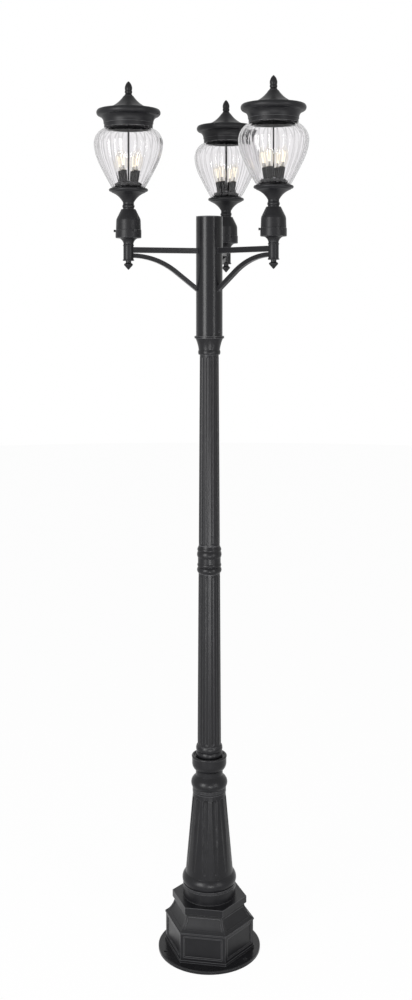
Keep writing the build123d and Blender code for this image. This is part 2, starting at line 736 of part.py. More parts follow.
with BuildPart() as hub_tube:
    with Locations((0, 0, HUB_Z)):
        Cylinder(HUB_RADIUS, HUB_HEIGHT, align=(Align.CENTER, Align.CENTER, Align.MIN))
        Cylinder(HUB_BORE, HUB_HEIGHT, align=(Align.CENTER, Align.CENTER, Align.MIN), mode=Mode.SUBTRACT)
    with Locations(*ARM_SPOTS.values()):
        with Locations((HUB_RADIUS, 0, ARM_Z)):
            Box(2 * HUB_WALL + HUB_ENTRY, ARM_BAR + 2 * SEAT, ARM_BAR + 2 * SEAT, mode=Mode.SUBTRACT)
        add(brace_cutter.part, mode=Mode.SUBTRACT)
        with Locations(Location((HUB_RADIUS, 0, HUB_SCREW_Z), (0, 90, 0))):
            Cylinder(HUB_SCREW + SEAT, 4 * HUB_WALL, mode=Mode.SUBTRACT)
write(hub_tube, "hub_tube")

with BuildPart() as hub_cap:
    with Locations((0, 0, HUB_Z + HUB_HEIGHT)):
        Cylinder(HUB_RADIUS, HUB_CAP_THICK, align=(Align.CENTER, Align.CENTER, Align.MIN))
        Cylinder(HUB_BORE - SEAT, HUB_CAP_SPIGOT, align=(Align.CENTER, Align.CENTER, Align.MAX))
write(hub_cap, "hub_cap")

with BuildPart() as hub_screw:
    with Locations(Location((HUB_BORE, 0, HUB_SCREW_Z), (0, 90, 0))):
        Cylinder(HUB_SCREW, HUB_WALL, align=(Align.CENTER, Align.CENTER, Align.MIN))
    with BuildSketch(Plane.YZ.offset(HUB_RADIUS)):
        with Locations((0, HUB_SCREW_Z)):
            RegularPolygon(HUB_SCREW / 2, 6)
    extrude(amount=-HUB_SCREW / 2, mode=Mode.SUBTRACT)
write_at(hub_screw, "hub_screws", ARM_SPOTS.values())

# --- stem, facing the post along -X -------------------------------------------------------

with BuildPart() as stem:
    flare_radius = LANTERN_TENON - STEM_NECK
    ring_z = -STEM_NECK_DROP - STEM_RING_HEIGHT
    foot_z = -STEM_LENGTH - STEM_FOOT_HEIGHT
    inside = LANTERN_TENON - LANTERN_TENON_WALL
    with BuildSketch(Plane.XZ):
        with BuildLine():
            Line((0, foot_z), (STEM_RADIUS, foot_z))
            bead(STEM_RADIUS, STEM_FOOT_BEAD, foot_z, STEM_FOOT_HEIGHT)
            Line((STEM_RADIUS, -STEM_LENGTH), (STEM_RADIUS, ring_z))
            bead(STEM_RADIUS, STEM_RING, ring_z, STEM_RING_HEIGHT)
            Line((STEM_RADIUS, -STEM_NECK_DROP), (STEM_NECK, -STEM_NECK_DROP))
            ThreePointArc(
                (STEM_NECK, -STEM_NECK_DROP),
                (LANTERN_TENON - flare_radius / sqrt(2), -STEM_NECK_DROP * (1 - 1 / sqrt(2))),
                (LANTERN_TENON, 0),
            )
            Polyline(
                (LANTERN_TENON, 0),
                (LANTERN_TENON, LANTERN_TENON_HEIGHT),
                (inside, LANTERN_TENON_HEIGHT),
                (inside, LANTERN_TENON_WALL),
                (STEM_BORE, -STEM_NECK_DROP / 2),
                (STEM_BORE, -STEM_ARM),
                (0, -STEM_ARM),
                (0, foot_z),
            )
        make_face()
    revolve(axis=Axis.Z)
    with Locations((-STEM_SOCKET, 0, -STEM_ARM)):
        Box(
            STEM_RADIUS,
            ARM_BAR + 2 * SEAT,
            ARM_BAR + 2 * SEAT,
            align=(Align.MAX, Align.CENTER, Align.CENTER),
            mode=Mode.SUBTRACT,
        )
        Box(STEM_RADIUS, STEM_BORE, STEM_BORE, mode=Mode.SUBTRACT)
    with Locations((-STEM_SOCKET, 0, -STEM_ARM - BRACE_DROP)):
        Box(
            STEM_RADIUS,
            BRACE_BAR + 2 * SEAT,
            BRACE_BAR + 2 * SEAT,
            align=(Align.MAX, Align.CENTER, Align.CENTER),
            mode=Mode.SUBTRACT,
        )
    with Locations((0, 0, foot_z)):
        Cylinder(
            DROP_STUD + SEAT,
            DROP_STUD_LENGTH + 1,
            align=(Align.CENTER, Align.CENTER, Align.MIN),
            mode=Mode.SUBTRACT,
        )
for side, spot in STEM_SPOTS.items():
    write_at(stem, f"stem_{side}", [spot])

with BuildPart() as drop_finial:
    top_z = -STEM_LENGTH - STEM_FOOT_HEIGHT
    tip_z = top_z - DROP_HEIGHT
    crest_z = top_z - DROP_NECK_HEIGHT - DROP_SHOULDER
    with BuildSketch(Plane.XZ):
        with BuildLine():
            Polyline(
                (0, top_z + DROP_STUD_LENGTH),
                (DROP_STUD, top_z + DROP_STUD_LENGTH),
                (DROP_STUD, top_z),
                (DROP_NECK, top_z),
                (DROP_NECK, top_z - DROP_NECK_HEIGHT),
            )
            ThreePointArc(
                (DROP_NECK, top_z - DROP_NECK_HEIGHT),
                (DROP_CREST - DROP_SWELL, crest_z + DROP_SHOULDER / 2),
                (DROP_CREST, crest_z),
            )
            Polyline((DROP_CREST, crest_z), (TIP_FLAT, tip_z), (0, tip_z), (0, top_z + DROP_STUD_LENGTH))
        make_face()
    revolve(axis=Axis.Z)
write_at(drop_finial, "drop_finials", STEM_SPOTS.values())

# --- fitter cup and its screws ------------------------------------------------------------

CUP_CROWN_Z = CUP_HEIGHT - CUP_CROWN

with BuildPart() as fitter_cup:
    with BuildSketch(Plane.XZ):
        with BuildLine():
            Polyline(
                (CUP_BORE, 0),
                (CUP_RADIUS, 0),
                (CUP_BAND, CUP_BAND_EDGE),
                (CUP_BAND, CUP_BAND_HEIGHT - CUP_BAND_EDGE),
                (CUP_RADIUS, CUP_BAND_HEIGHT),
                (CUP_RADIUS - 1, CUP_SIDE_HEIGHT - 4),
            )
            Polyline(
                (CUP_RADIUS - 1, CUP_SIDE_HEIGHT - 4),
                (CUP_SHOULDER, CUP_SIDE_HEIGHT + 2),
                (CUP_TOP, CUP_HEIGHT),
                (NIPPLE + SEAT, CUP_HEIGHT),
                (NIPPLE + SEAT, CUP_CROWN_Z),
                (CUP_TOP - 4, CUP_CROWN_Z),
                (CUP_BORE, CUP_SIDE_HEIGHT - 2),
                (CUP_BORE, 0),
            )
        make_face()
    revolve(axis=Axis.Z)
    with Locations((0, 0, THUMB_HEIGHT)):
        with PolarLocations(CUP_RADIUS, THUMB_COUNT, start_angle=THUMB_TURN):
            Cylinder(THUMB_SCREW + SEAT, 4 * THUMB_HEAD, rotation=(0, 90, 0), mode=Mode.SUBTRACT)

with BuildPart() as thumb_screws:
    with Locations((0, 0, THUMB_HEIGHT)):
        with PolarLocations(LANTERN_TENON, THUMB_COUNT, start_angle=THUMB_TURN):
            Cylinder(
                THUMB_SCREW,
                CUP_BAND + THUMB_NECK - LANTERN_TENON,
                rotation=(0, 90, 0),
                align=(Align.CENTER, Align.CENTER, Align.MIN),
            )
        with PolarLocations(CUP_BAND + THUMB_NECK, THUMB_COUNT, start_angle=THUMB_TURN):
            Cylinder(
                THUMB_HEAD,
                THUMB_HEAD_LENGTH,
                rotation=(0, 90, 0),
                align=(Align.CENTER, Align.CENTER, Align.MIN),
            )

# --- holder pan, nipple and nuts ----------------------------------------------------------

with BuildPart() as holder_pan:
    bead_z = PAN_Z + PAN_BEAD_FOOT
    flare_z = PAN_Z + PAN_FLARE_FOOT
    edge_z = PAN_Z + PAN_FLARE_HEIGHT
    roll_z = PAN_Z + PAN_ROLL_FOOT
    top_z = PAN_Z + PAN_HEIGHT
    with BuildSketch(Plane.XZ):
        with BuildLine():
            Polyline((PAN_BORE, PAN_Z), (PAN_NECK, PAN_Z), (PAN_NECK, bead_z))
            bead(PAN_NECK, PAN_BEAD, bead_z, PAN_BEAD_HEIGHT)
            Line((PAN_NECK, bead_z + PAN_BEAD_HEIGHT), (PAN_NECK, flare_z))
            ThreePointArc(
                (PAN_NECK, flare_z),
                (PAN_FLARE_MIDDLE, PAN_Z + PAN_FLARE_MIDDLE_HEIGHT),
                (PAN_FLARE_TOP, edge_z),
            )
            Polyline((PAN_FLARE_TOP, edge_z), (PAN_FLARE_TOP + PAN_EDGE, roll_z), (PAN_LIP, roll_z))
            ThreePointArc(
                (PAN_LIP, roll_z),
                (PAN_RIM, (roll_z + top_z) / 2),
                (PAN_LIP, top_z),
            )
            Polyline(
                (PAN_LIP, top_z),
                (PAN_LIP - PAN_EDGE, top_z),
                (PAN_LIP - PAN_EDGE, PAN_FLOOR_Z),
                (SOCKET_PLATE_STEP, PAN_FLOOR_Z),
                (PAN_BORE, flare_z + WALL),
                (PAN_BORE, PAN_Z),
            )
        make_face()
    revolve(axis=Axis.Z)

with BuildPart() as pan_nipple:
    foot_z = CUP_CROWN_Z - NIPPLE_STAND
    with Locations((0, 0, foot_z)):
        length = PLATE_TOP_Z + NIPPLE_STAND - foot_z
        Cylinder(NIPPLE, length, align=(Align.CENTER, Align.CENTER, Align.MIN))
        Cylinder(NIPPLE_BORE, length, align=(Align.CENTER, Align.CENTER, Align.MIN), mode=Mode.SUBTRACT)

with BuildPart() as nipple_nuts:
    for nut_z in (CUP_CROWN_Z - NUT_THICK, PLATE_TOP_Z):
        with BuildSketch(Plane.XY.offset(nut_z)):
            RegularPolygon(NUT_SIZE / 2, 6, major_radius=False)
            Circle(NIPPLE + SEAT, mode=Mode.SUBTRACT)
        extrude(amount=NUT_THICK)

# --- socket plate, sleeves and sockets ----------------------------------------------------

with BuildPart() as socket_plate:
    step_z = PAN_FLOOR_Z + SOCKET_STEP_HEIGHT
    ledge_z = PLATE_TOP_Z - SOCKET_STEP_HEIGHT / 2
    with BuildSketch(Plane.XZ):
        with BuildLine():
            Polyline(
                (SOCKET_PLATE_STEP, PAN_FLOOR_Z),
                (SOCKET_PLATE, PAN_FLOOR_Z),
                (SOCKET_PLATE, step_z),
                (SOCKET_PLATE - 2, step_z + 2),
                (SOCKET_PLATE - 2, ledge_z),
                (SOCKET_PLATE_TOP, ledge_z),
                (SOCKET_PLATE_TOP, PLATE_TOP_Z),
                (NIPPLE + SEAT, PLATE_TOP_Z),
                (NIPPLE + SEAT, PLATE_TOP_Z - PLATE_SHEET),
                (SOCKET_PLATE_TOP - PLATE_SHEET, PLATE_TOP_Z - PLATE_SHEET),
                (SOCKET_PLATE_STEP, ledge_z - PLATE_SHEET),
                (SOCKET_PLATE_STEP, PAN_FLOOR_Z),
            )
        make_face()
    revolve(axis=Axis.Z)

# A lamp's axis: it leans out from its point on the socket plate
LAMP_AXES = [
    Location((0, 0, 0), (0, 0, LAMP_TURN + turn * 360 / LAMPS))
    * Location((LAMP_CIRCLE, 0, PLATE_TOP_Z), (0, LAMP_LEAN, 0))
    for turn in range(LAMPS)
]
PLATE_TOP = Plane.XY.offset(PLATE_TOP_Z)
TRIM = SLEEVE_RADIUS * tan(radians(LAMP_LEAN)) + 1

with BuildPart() as candle_sleeves:
    with Locations(*LAMP_AXES):
        with Locations((0, 0, -TRIM)):
            Cylinder(SLEEVE_RADIUS, SLEEVE_LENGTH + TRIM, align=(Align.CENTER, Align.CENTER, Align.MIN))
            Cylinder(
                SLEEVE_BORE,
                SLEEVE_LENGTH + TRIM,
                align=(Align.CENTER, Align.CENTER, Align.MIN),
                mode=Mode.SUBTRACT,
            )
    split(bisect_by=PLATE_TOP, keep=Keep.TOP)

with BuildPart() as lamp_sockets:
    socket_length = SLEEVE_LENGTH - SOCKET_RECESS
    with Locations(*LAMP_AXES):
        with Locations((0, 0, -TRIM)):
            Cylinder(SLEEVE_BORE - SEAT, socket_length + TRIM, align=(Align.CENTER, Align.CENTER, Align.MIN))
        with Locations((0, 0, socket_length)):
            Cylinder(
                BULB_BASE + RUN,
                SOCKET_BORE_DEPTH,
                align=(Align.CENTER, Align.CENTER, Align.MAX),
                mode=Mode.SUBTRACT,
            )
    split(bisect_by=PLATE_TOP, keep=Keep.TOP)

# --- candle bulb, standing on its sleeve's mouth ------------------------------------------

with BuildPart() as bulb:
    with BuildSketch(Plane.XZ):
        with BuildLine():
            Polyline(
                (0, -BULB_BASE_LENGTH),
                (BULB_BASE, -BULB_BASE_LENGTH),
                (BULB_BASE, FIT),
                (BULB_NECK, FIT),
                (BULB_NECK, 2),
            )
            ThreePointArc((BULB_NECK, 2), (BULB_CREST - 2, BULB_CREST_HEIGHT / 2), (BULB_CREST, BULB_CREST_HEIGHT))
            ThreePointArc(
                (BULB_CREST, BULB_CREST_HEIGHT),
                (BULB_CREST * 0.66, (BULB_CREST_HEIGHT + BULB_TIP_HEIGHT) / 2 + 4),
                (BULB_TIP, BULB_TIP_HEIGHT),
            )
            Polyline((BULB_TIP, BULB_TIP_HEIGHT), (0, BULB_HEIGHT), (0, -BULB_BASE_LENGTH))
        make_face()
    revolve(axis=Axis.Z)

# --- centre rod ---------------------------------------------------------------------------

with BuildPart() as centre_rod:
    rod_foot_z = PLATE_TOP_Z - ROD_GRIP
    with Locations((0, 0, rod_foot_z)):
        Cylinder(ROD, FINIAL_Z + ROD_GRIP - rod_foot_z, align=(Align.CENTER, Align.CENTER, Align.MIN))

# --- globe --------------------------------------------------------------------------------


def globe_outline(grow):
    """Draws the globe's outer line from its foot to its shoulder, grown by the given depth."""
    foot_z = PAN_FLOOR_Z
    lower = ThreePointArc(
        (GLOBE_FOOT + grow, foot_z),
        (GLOBE_LOWER + grow, foot_z + GLOBE_LOWER_HEIGHT),
        (GLOBE_UPPER + grow, foot_z + GLOBE_UPPER_HEIGHT),
    )
    belly = TangentArc(
        lower @ 1,
        (GLOBE_CREST + grow, foot_z + GLOBE_CREST_HEIGHT),
        tangent=lower % 1,
    )
    TangentArc(
        belly @ 1,
        (GLOBE_NECK + min(grow, 0), foot_z + GLOBE_SHOULDER_HEIGHT + grow),
        tangent=belly % 1,
    )


# One rib: a narrow wedge of the globe, grown outwards, which fades into the shoulder
with BuildPart() as globe_rib:
    rib_top_z = PAN_FLOOR_Z + GLOBE_SHOULDER_HEIGHT - RIB_STOP
    with BuildSketch(Plane.XZ) as rib_section:
        with BuildLine():
            globe_outline(RIB_PROUD)
            Line(
                (GLOBE_NECK, PAN_FLOOR_Z + GLOBE_SHOULDER_HEIGHT + RIB_PROUD),
                (GLOBE_NECK - GLASS, PAN_FLOOR_Z + GLOBE_SHOULDER_HEIGHT - GLASS),
            )
            globe_outline(-GLASS)
            Line((GLOBE_FOOT - GLASS, PAN_FLOOR_Z), (GLOBE_FOOT + RIB_PROUD, PAN_FLOOR_Z))
        make_face()
        with Locations((0, rib_top_z)):
            Rectangle(GLOBE_CREST, GLOBE_HEIGHT, align=(Align.MIN, Align.MIN), mode=Mode.SUBTRACT)
    revolve(axis=Axis.Z, revolution_arc=RIB_SPAN)

with BuildPart() as globe:
    shoulder_z = PAN_FLOOR_Z + GLOBE_SHOULDER_HEIGHT
    top_z = PAN_FLOOR_Z + GLOBE_HEIGHT
    with BuildSketch(Plane.XZ):
        with BuildLine():
            globe_outline(0)
            Polyline(
                (GLOBE_NECK, shoulder_z),
                (GLOBE_NECK, top_z),
                (GLOBE_NECK - GLASS, top_z),
                (GLOBE_NECK - GLASS, shoulder_z - GLASS),
            )
            globe_outline(-GLASS)
            Line((GLOBE_FOOT - GLASS, PAN_FLOOR_Z), (GLOBE_FOOT, PAN_FLOOR_Z))
        make_face()
    revolve(axis=Axis.Z)
    with PolarLocations(0, RIBS):
        add(globe_rib.part)

# --- roof ---------------------------------------------------------------------------------

with BuildPart() as roof:
    cove_z = ROOF_Z + ROOF_COLLAR_HEIGHT + ROOF_STEP
    brim_z = cove_z + ROOF_COVE_HEIGHT
    lift_z = brim_z + ROOF_BRIM_LIFT
    sweep_z = lift_z + ROOF_BRIM_HEIGHT
    crown_z = ROOF_Z + ROOF_HEIGHT
    middle_z = sweep_z + ROOF_SWEEP_RISE
    inside = ROOF_COLLAR - ROOF_WALL
    cove_foot = ROOF_COLLAR + ROOF_STEP
    cove_middle = (cove_foot + ROOF_COVE) / 2 - ROOF_COVE_HOLLOW
    shift = ROOF_STEP + ROOF_WALL
    brim_inside = ROOF_BRIM_TOP - 2 * ROOF_WALL
    with BuildSketch(Plane.XZ):
        with BuildLine():
            Polyline(
                (inside, ROOF_Z),
                (ROOF_COLLAR, ROOF_Z),
                (ROOF_COLLAR, ROOF_Z + ROOF_COLLAR_HEIGHT),
                (cove_foot, ROOF_Z + ROOF_COLLAR_HEIGHT),
                (cove_foot, cove_z),
            )
            ThreePointArc((cove_foot, cove_z), (cove_middle, (cove_z + brim_z) / 2), (ROOF_COVE, brim_z))
            Line((ROOF_COVE, brim_z), (ROOF_BRIM_FOOT, lift_z))
            ThreePointArc(
                (ROOF_BRIM_FOOT, lift_z),
                (ROOF_BRIM, (lift_z + sweep_z) / 2),
                (ROOF_BRIM_TOP, sweep_z),
            )
            ThreePointArc((ROOF_BRIM_TOP, sweep_z), (ROOF_SWEEP_MIDDLE, middle_z), (ROOF_CROWN, crown_z))
            Polyline(
                (ROOF_CROWN, crown_z),
                (ROD + FIT, crown_z),
                (ROD + FIT, crown_z - ROOF_WALL),
                (ROOF_CROWN - ROOF_WALL, crown_z - ROOF_WALL),
            )
            ThreePointArc(
                (ROOF_CROWN - ROOF_WALL, crown_z - ROOF_WALL),
                (ROOF_SWEEP_MIDDLE - ROOF_WALL, middle_z - ROOF_WALL),
                (brim_inside, sweep_z - ROOF_WALL),
            )
            Polyline(
                (brim_inside, sweep_z - ROOF_WALL),
                (brim_inside, lift_z + ROOF_WALL),
                (ROOF_COVE - shift, brim_z + ROOF_WALL),
            )
            ThreePointArc(
                (ROOF_COVE - shift, brim_z + ROOF_WALL),
                (cove_middle - shift, (cove_z + brim_z) / 2 + ROOF_WALL),
                (inside, cove_z + ROOF_WALL),
            )
            Line((inside, cove_z + ROOF_WALL), (inside, ROOF_Z))
        make_face()
    revolve(axis=Axis.Z)

# --- finial -------------------------------------------------------------------------------

with BuildPart() as finial:
    neck_z = FINIAL_Z + FINIAL_DISC_HEIGHT
    bead_z = neck_z + FINIAL_NECK_HEIGHT
    acorn_z = bead_z + FINIAL_BEAD_HEIGHT
    tip_z = FINIAL_Z + FINIAL_HEIGHT
    shoulder_z = tip_z - FINIAL_TIP
    bore_z = FINIAL_Z + ROD_GRIP + 2
    with BuildSketch(Plane.XZ):
        with BuildLine():
            Polyline((ROD + RUN, FINIAL_Z), (FINIAL_DISC, FINIAL_Z), (FINIAL_DISC - 1, neck_z), (FINIAL_NECK, bead_z))
            Line((FINIAL_NECK, bead_z), (FINIAL_ROOT, bead_z))
            bead(FINIAL_ROOT, FINIAL_BEAD, bead_z, FINIAL_BEAD_HEIGHT)
            ThreePointArc(
                (FINIAL_ROOT, acorn_z),
                (FINIAL_ACORN, (acorn_z + shoulder_z) / 2),
                (FINIAL_SHOULDER, shoulder_z),
            )
            ThreePointArc(
                (FINIAL_SHOULDER, shoulder_z),
                (FINIAL_SHOULDER * 0.6, shoulder_z + FINIAL_TIP * 0.6),
                (TIP_FLAT, tip_z),
            )
            Polyline((TIP_FLAT, tip_z), (0, tip_z), (0, bore_z), (ROD + RUN, bore_z), (ROD + RUN, FINIAL_Z))
        make_face()
    revolve(axis=Axis.Z)

# --- lanterns in their places -------------------------------------------------------------

LANTERN_PIECES = {
    "fitter_cup": fitter_cup,
    "holder_pan": holder_pan,
    "candle_sleeves": candle_sleeves,
    "globe": globe,
    "roof": roof,
    "finial": finial,
}
SHARED_PIECES = {
    "fitter_screws": thumb_screws,
    "pan_nipples": pan_nipple,
    "nipple_nuts": nipple_nuts,
    "socket_plates": socket_plate,
    "lamp_sockets": lamp_sockets,
    "centre_rods": centre_rod,
}

for side, spot in LANTERN_SPOTS.items():
    for name, piece in LANTERN_PIECES.items():
        write_at(piece, f"{name}_{side}", [spot])
    for number, axis in enumerate(LAMP_AXES, start=1):
        write_at(bulb, f"bulb_{side}_{number}", [spot * axis * Location((0, 0, SLEEVE_LENGTH))])

for name, piece in SHARED_PIECES.items():
    write_at(piece, name, LANTERN_SPOTS.values())
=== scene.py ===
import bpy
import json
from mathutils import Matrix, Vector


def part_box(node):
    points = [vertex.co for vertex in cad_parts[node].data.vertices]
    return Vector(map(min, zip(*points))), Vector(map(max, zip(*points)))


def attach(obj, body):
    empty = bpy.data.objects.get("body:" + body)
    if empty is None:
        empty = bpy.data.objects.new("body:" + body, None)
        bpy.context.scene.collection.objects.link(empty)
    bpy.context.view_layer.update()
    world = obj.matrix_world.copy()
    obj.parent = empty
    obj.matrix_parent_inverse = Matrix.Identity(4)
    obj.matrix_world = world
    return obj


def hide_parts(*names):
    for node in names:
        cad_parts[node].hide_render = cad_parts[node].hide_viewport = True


bl_info = {
    "name": "Triple head lamp post",
    "version": (1, 0, 0),
    "blender": (4, 5, 0),
    "location": "3D View > Sidebar > Lamp post",
    "description": "Dresses the packed lamp post with its powder coat, fluted glass, lit bulbs and studio",
    "category": "Object",
}

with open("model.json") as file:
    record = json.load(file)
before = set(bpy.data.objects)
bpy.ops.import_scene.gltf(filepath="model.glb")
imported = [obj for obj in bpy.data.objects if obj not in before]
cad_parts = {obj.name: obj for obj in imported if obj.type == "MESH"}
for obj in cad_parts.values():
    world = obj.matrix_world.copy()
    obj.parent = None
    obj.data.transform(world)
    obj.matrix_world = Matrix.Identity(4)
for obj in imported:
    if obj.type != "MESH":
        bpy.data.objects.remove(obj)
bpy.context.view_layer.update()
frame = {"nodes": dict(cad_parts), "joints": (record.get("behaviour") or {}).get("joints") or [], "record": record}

import json
from math import atan2, cos, pi, radians, sin

import bpy
from bpy.props import FloatProperty, FloatVectorProperty, IntProperty, PointerProperty
from mathutils import Matrix, Vector

SIDES = ("rear", "left", "right")

# Every length is in metres, as the frame is.
MM = 0.001

# The globe's outer line, as heights above its foot. Its arcs run on from each other.
GLOBE_FOOT = 54.0 * MM
GLOBE_LOWER = (78.8 * MM, 44.0 * MM)
GLOBE_UPPER = (101.0 * MM, 88.0 * MM)
GLOBE_CREST = (117.0 * MM, 146.0 * MM)
GLOBE_SHOULDER = (77.5 * MM, 206.5 * MM)
GLOBE_LIP = 216.0 * MM
ARC_STEPS = 12
FLUTE_STEPS = 8  # points round one lobe
GLOBE_SMOOTH = radians(50)

# Candle bulb, as (radius, height) over its sleeve's mouth
BULB_NECK = (7.4 * MM, 0.6 * MM)
BULB_BELLY = (16.2 * MM, 30.0 * MM)
BULB_LOWER = (14.2 * MM, 15.0 * MM)
BULB_UPPER = (10.6 * MM, 53.0 * MM)
BULB_FLAME = (3.0 * MM, 68.0 * MM)
BULB_TIP = (0.6 * MM, 75.4 * MM)
BULB_SIDES = 24
BULB_SMOOTH = radians(60)

# Screw cap: its contact at the foot, its insulator, its threads and its rim
CAP_RADIUS = 6.0 * MM
CAP_DEPTH = 22.0 * MM
CAP_THREADS = 6
THREAD_DEPTH = 0.5 * MM
THREAD_ROOT = CAP_RADIUS - THREAD_DEPTH
THREAD_FOOT = 4.0 * MM - CAP_DEPTH
THREAD_LENGTH = CAP_DEPTH - 6.0 * MM
CONTACT = 1.8 * MM
CONTACT_RIM = (2.6 * MM, 2.0 * MM - CAP_DEPTH)
INSULATOR_HEIGHT = 3.5 * MM  # over the contact
CAP_SHOULDER_HEIGHT = 0.3 * MM
CAP_RIM_HEIGHT = 1.6 * MM
SMALL_SMOOTH = radians(50)

# Glass stem, wires and filaments inside the bulb, as heights over the sleeve's mouth
STEM_RADIUS = 4.2 * MM
STEM_HEIGHT = 16.0 * MM
STEM_FOOT = (BULB_NECK[0] - 1.2 * MM, 1.0 * MM)
STEM_SHOULDER_HEIGHT = 5.0 * MM
STEM_WAIST = (0.6 * STEM_RADIUS, 12.0 * MM)
STEM_TOP = 0.8 * STEM_RADIUS
FILAMENT_RADIUS = 0.6 * MM
FILAMENT_ROUND = 0.25 * MM
FILAMENT_FOOT_CIRCLE = 3.4 * MM
FILAMENT_TOP_CIRCLE = 6.4 * MM
WIRE = 0.35 * MM
WIRE_PROUD = 4.0 * MM  # of the middle wire over the filaments


def linear(hex_colour):
    """Turns an sRGB hex colour into the linear values that Blender keeps."""
    channels = [int(hex_colour[i : i + 2], 16) / 255 for i in (1, 3, 5)]
    return tuple(c / 12.92 if c <= 0.04045 else ((c + 0.055) / 1.055) ** 2.4 for c in channels)


# --- settings -----------------------------------------------------------------------------


class CoatSettings(bpy.types.PropertyGroup):
    """The black finish of every metal piece."""

    colour: FloatVectorProperty(
        name="Coat colour",
        description="Colour of the powder coat",
        subtype="COLOR",
        default=linear("#151517"),
    )
    # Painted highlight: this lighter colour is mixed in on sharp corners
    edge: FloatVectorProperty(
        name="Edge colour",
        description="Colour where the coat is thin",
        subtype="COLOR",
        default=linear("#525254"),
    )
    roughness: FloatProperty(
        name="Roughness", description="Shiny to matt", default=0.42, min=0.0, max=1.0, subtype="FACTOR"
    )
    gloss: FloatProperty(
        name="Gloss", description="Strength of the reflection", default=0.2, min=0.0, max=1.0
    )
    grain: FloatProperty(
        name="Grain",
        description="Width of a grain of the coat",
        default=2.2 * MM,
        min=0.1 * MM,
        unit="LENGTH",
    )


class GlobeSettings(bpy.types.PropertyGroup):
    """The fluted glass."""

    flutes: IntProperty(name="Flutes", description="Lobes round a globe", default=24, min=3, max=60)
    depth: FloatProperty(name="Flute depth", description="Crest to crease", default=2.6 * MM, unit="LENGTH")
    wall: FloatProperty(name="Wall", description="Thickness of the glass", default=2.6 * MM, unit="LENGTH")
    colour: FloatVectorProperty(
        name="Glass colour",
        description="Tint of the clear glass",
        subtype="COLOR",
        default=linear("#f6f5f6"),
    )
    # Painted shade: the glass is tinted this grey where it is seen at a grazing angle
    edge: FloatVectorProperty(
        name="Glass edge",
        description="Tint where the eye looks along the wall",
        subtype="COLOR",
        default=linear("#767676"),
    )
    # Painted shade: the glass is tinted this grey along the creases between the lobes
    crease: FloatVectorProperty(
        name="Glass crease",
        description="Tint between two lobes",
        subtype="COLOR",
        default=linear("#585858"),
    )


class BulbSettings(bpy.types.PropertyGroup):
    """The candle bulbs."""

    filaments: IntProperty(name="Filaments", description="Glowing sticks in a bulb", default=4, min=1, max=8)
    filament_length: FloatProperty(
        name="Filament length", description="Length of a glowing stick", default=36.0 * MM, unit="LENGTH"
    )
    rim: FloatVectorProperty(
        name="Bulb rim",
        description="Tint of the bulb's glass where it covers most",
        subtype="COLOR",
        default=linear("#9b9891"),
    )
    glow: FloatVectorProperty(
        name="Glow", description="Colour of the lit filaments", subtype="COLOR", default=linear("#fff0d2")
    )
    strength: FloatProperty(name="Strength", description="Brightness of the filaments", default=1.7, min=0.0)


class StageSettings(bpy.types.PropertyGroup):
    """The camera and the studio."""

    distance: FloatProperty(name="Distance", description="Camera to the post", default=3.967, unit="LENGTH")
    eye: FloatProperty(name="Eye height", description="Camera above the floor", default=2.226, unit="LENGTH")
    azimuth: FloatProperty(
        name="Azimuth", description="Camera round the post", default=radians(12.5), subtype="ANGLE"
    )
    lens: FloatProperty(name="Lens", description="Focal length in millimetres", default=41.4)
    drop: FloatProperty(name="Vertical shift", description="Moves the picture down", default=-0.2)
    slide: FloatProperty(name="Side shift", description="Moves the picture sideways", default=-0.0033)
    fill: FloatProperty(name="Fill light", description="Light from the surround", default=0.32, min=0.0)
    floor: FloatVectorProperty(
        name="Floor colour", description="Pale studio floor", subtype="COLOR", default=linear("#f6f6f6")
    )


# --- small tools --------------------------------------------------------------------------


def deselect():
    """Leaves nothing selected and no mesh open."""
    if bpy.context.object and bpy.context.object.mode != "OBJECT":
        bpy.ops.object.mode_set(mode="OBJECT")
    bpy.ops.object.select_all(action="DESELECT")


def take(piece):
    """Selects one piece alone."""
    deselect()
    piece.select_set(True)
    bpy.context.view_layer.objects.active = piece


def apply_modifiers(piece):
    """Applies every modifier of a piece, in order."""
    take(piece)
    for modifier in list(piece.modifiers):
        bpy.ops.object.modifier_apply(modifier=modifier.name)


def settle(piece):
    """Puts a piece's place into its mesh and leaves its object at the origin."""
    take(piece)
    bpy.ops.object.transform_apply(location=True, rotation=True, scale=True)


def arc_on(start, heading, end, steps=ARC_STEPS):
    """Points of the arc that leaves start in the given direction and reaches end, and its last direction."""
    chord = Vector(end) - Vector(start)
    turn = atan2(chord.y, chord.x) - heading
    if abs(turn) < 1e-6:
        return [tuple(end)], heading
    radius = chord.length / (2 * sin(turn))
    centre = Vector(start) + radius * Vector((-sin(heading), cos(heading)))
    points = []
    for step in range(1, steps + 1):
        angle = heading + 2 * turn * step / steps
        points.append((centre.x + radius * sin(angle), centre.y - radius * cos(angle)))
    return points, heading + 2 * turn


def arc_through(start, middle, end, steps=ARC_STEPS):
    """Points of the arc through three points, and its last direction."""
    first, second = Vector(middle) - Vector(start), Vector(end) - Vector(middle)
    bend = atan2(first.x * second.y - first.y * second.x, first.dot(second))
    chord = Vector(end) - Vector(start)
    return arc_on(start, atan2(chord.y, chord.x) - bend, end, steps)


def turned(name, line, sides, start_ring=None):
    """Turns a line of (radius, height) points: a ring is extruded up the line and scaled at each step."""
    deselect()
    radius, height = line[0]
    bpy.ops.mesh.primitive_circle_add(vertices=sides, radius=radius, location=(0, 0, height))
    piece = bpy.context.object
    piece.name = name
    if start_ring:
        start_ring(piece)
    bpy.ops.object.mode_set(mode="EDIT")
    bpy.ops.mesh.select_all(action="SELECT")
    for (low_radius, low), (high_radius, high) in zip(line, line[1:]):
        bpy.ops.mesh.extrude_edges_move(TRANSFORM_OT_translate={"value": (0, 0, high - low)})
        share = high_radius / low_radius
        bpy.ops.transform.resize(value=(share, share, 1), center_override=(0, 0, high))
    bpy.ops.object.mode_set(mode="OBJECT")
    settle(piece)
    return piece


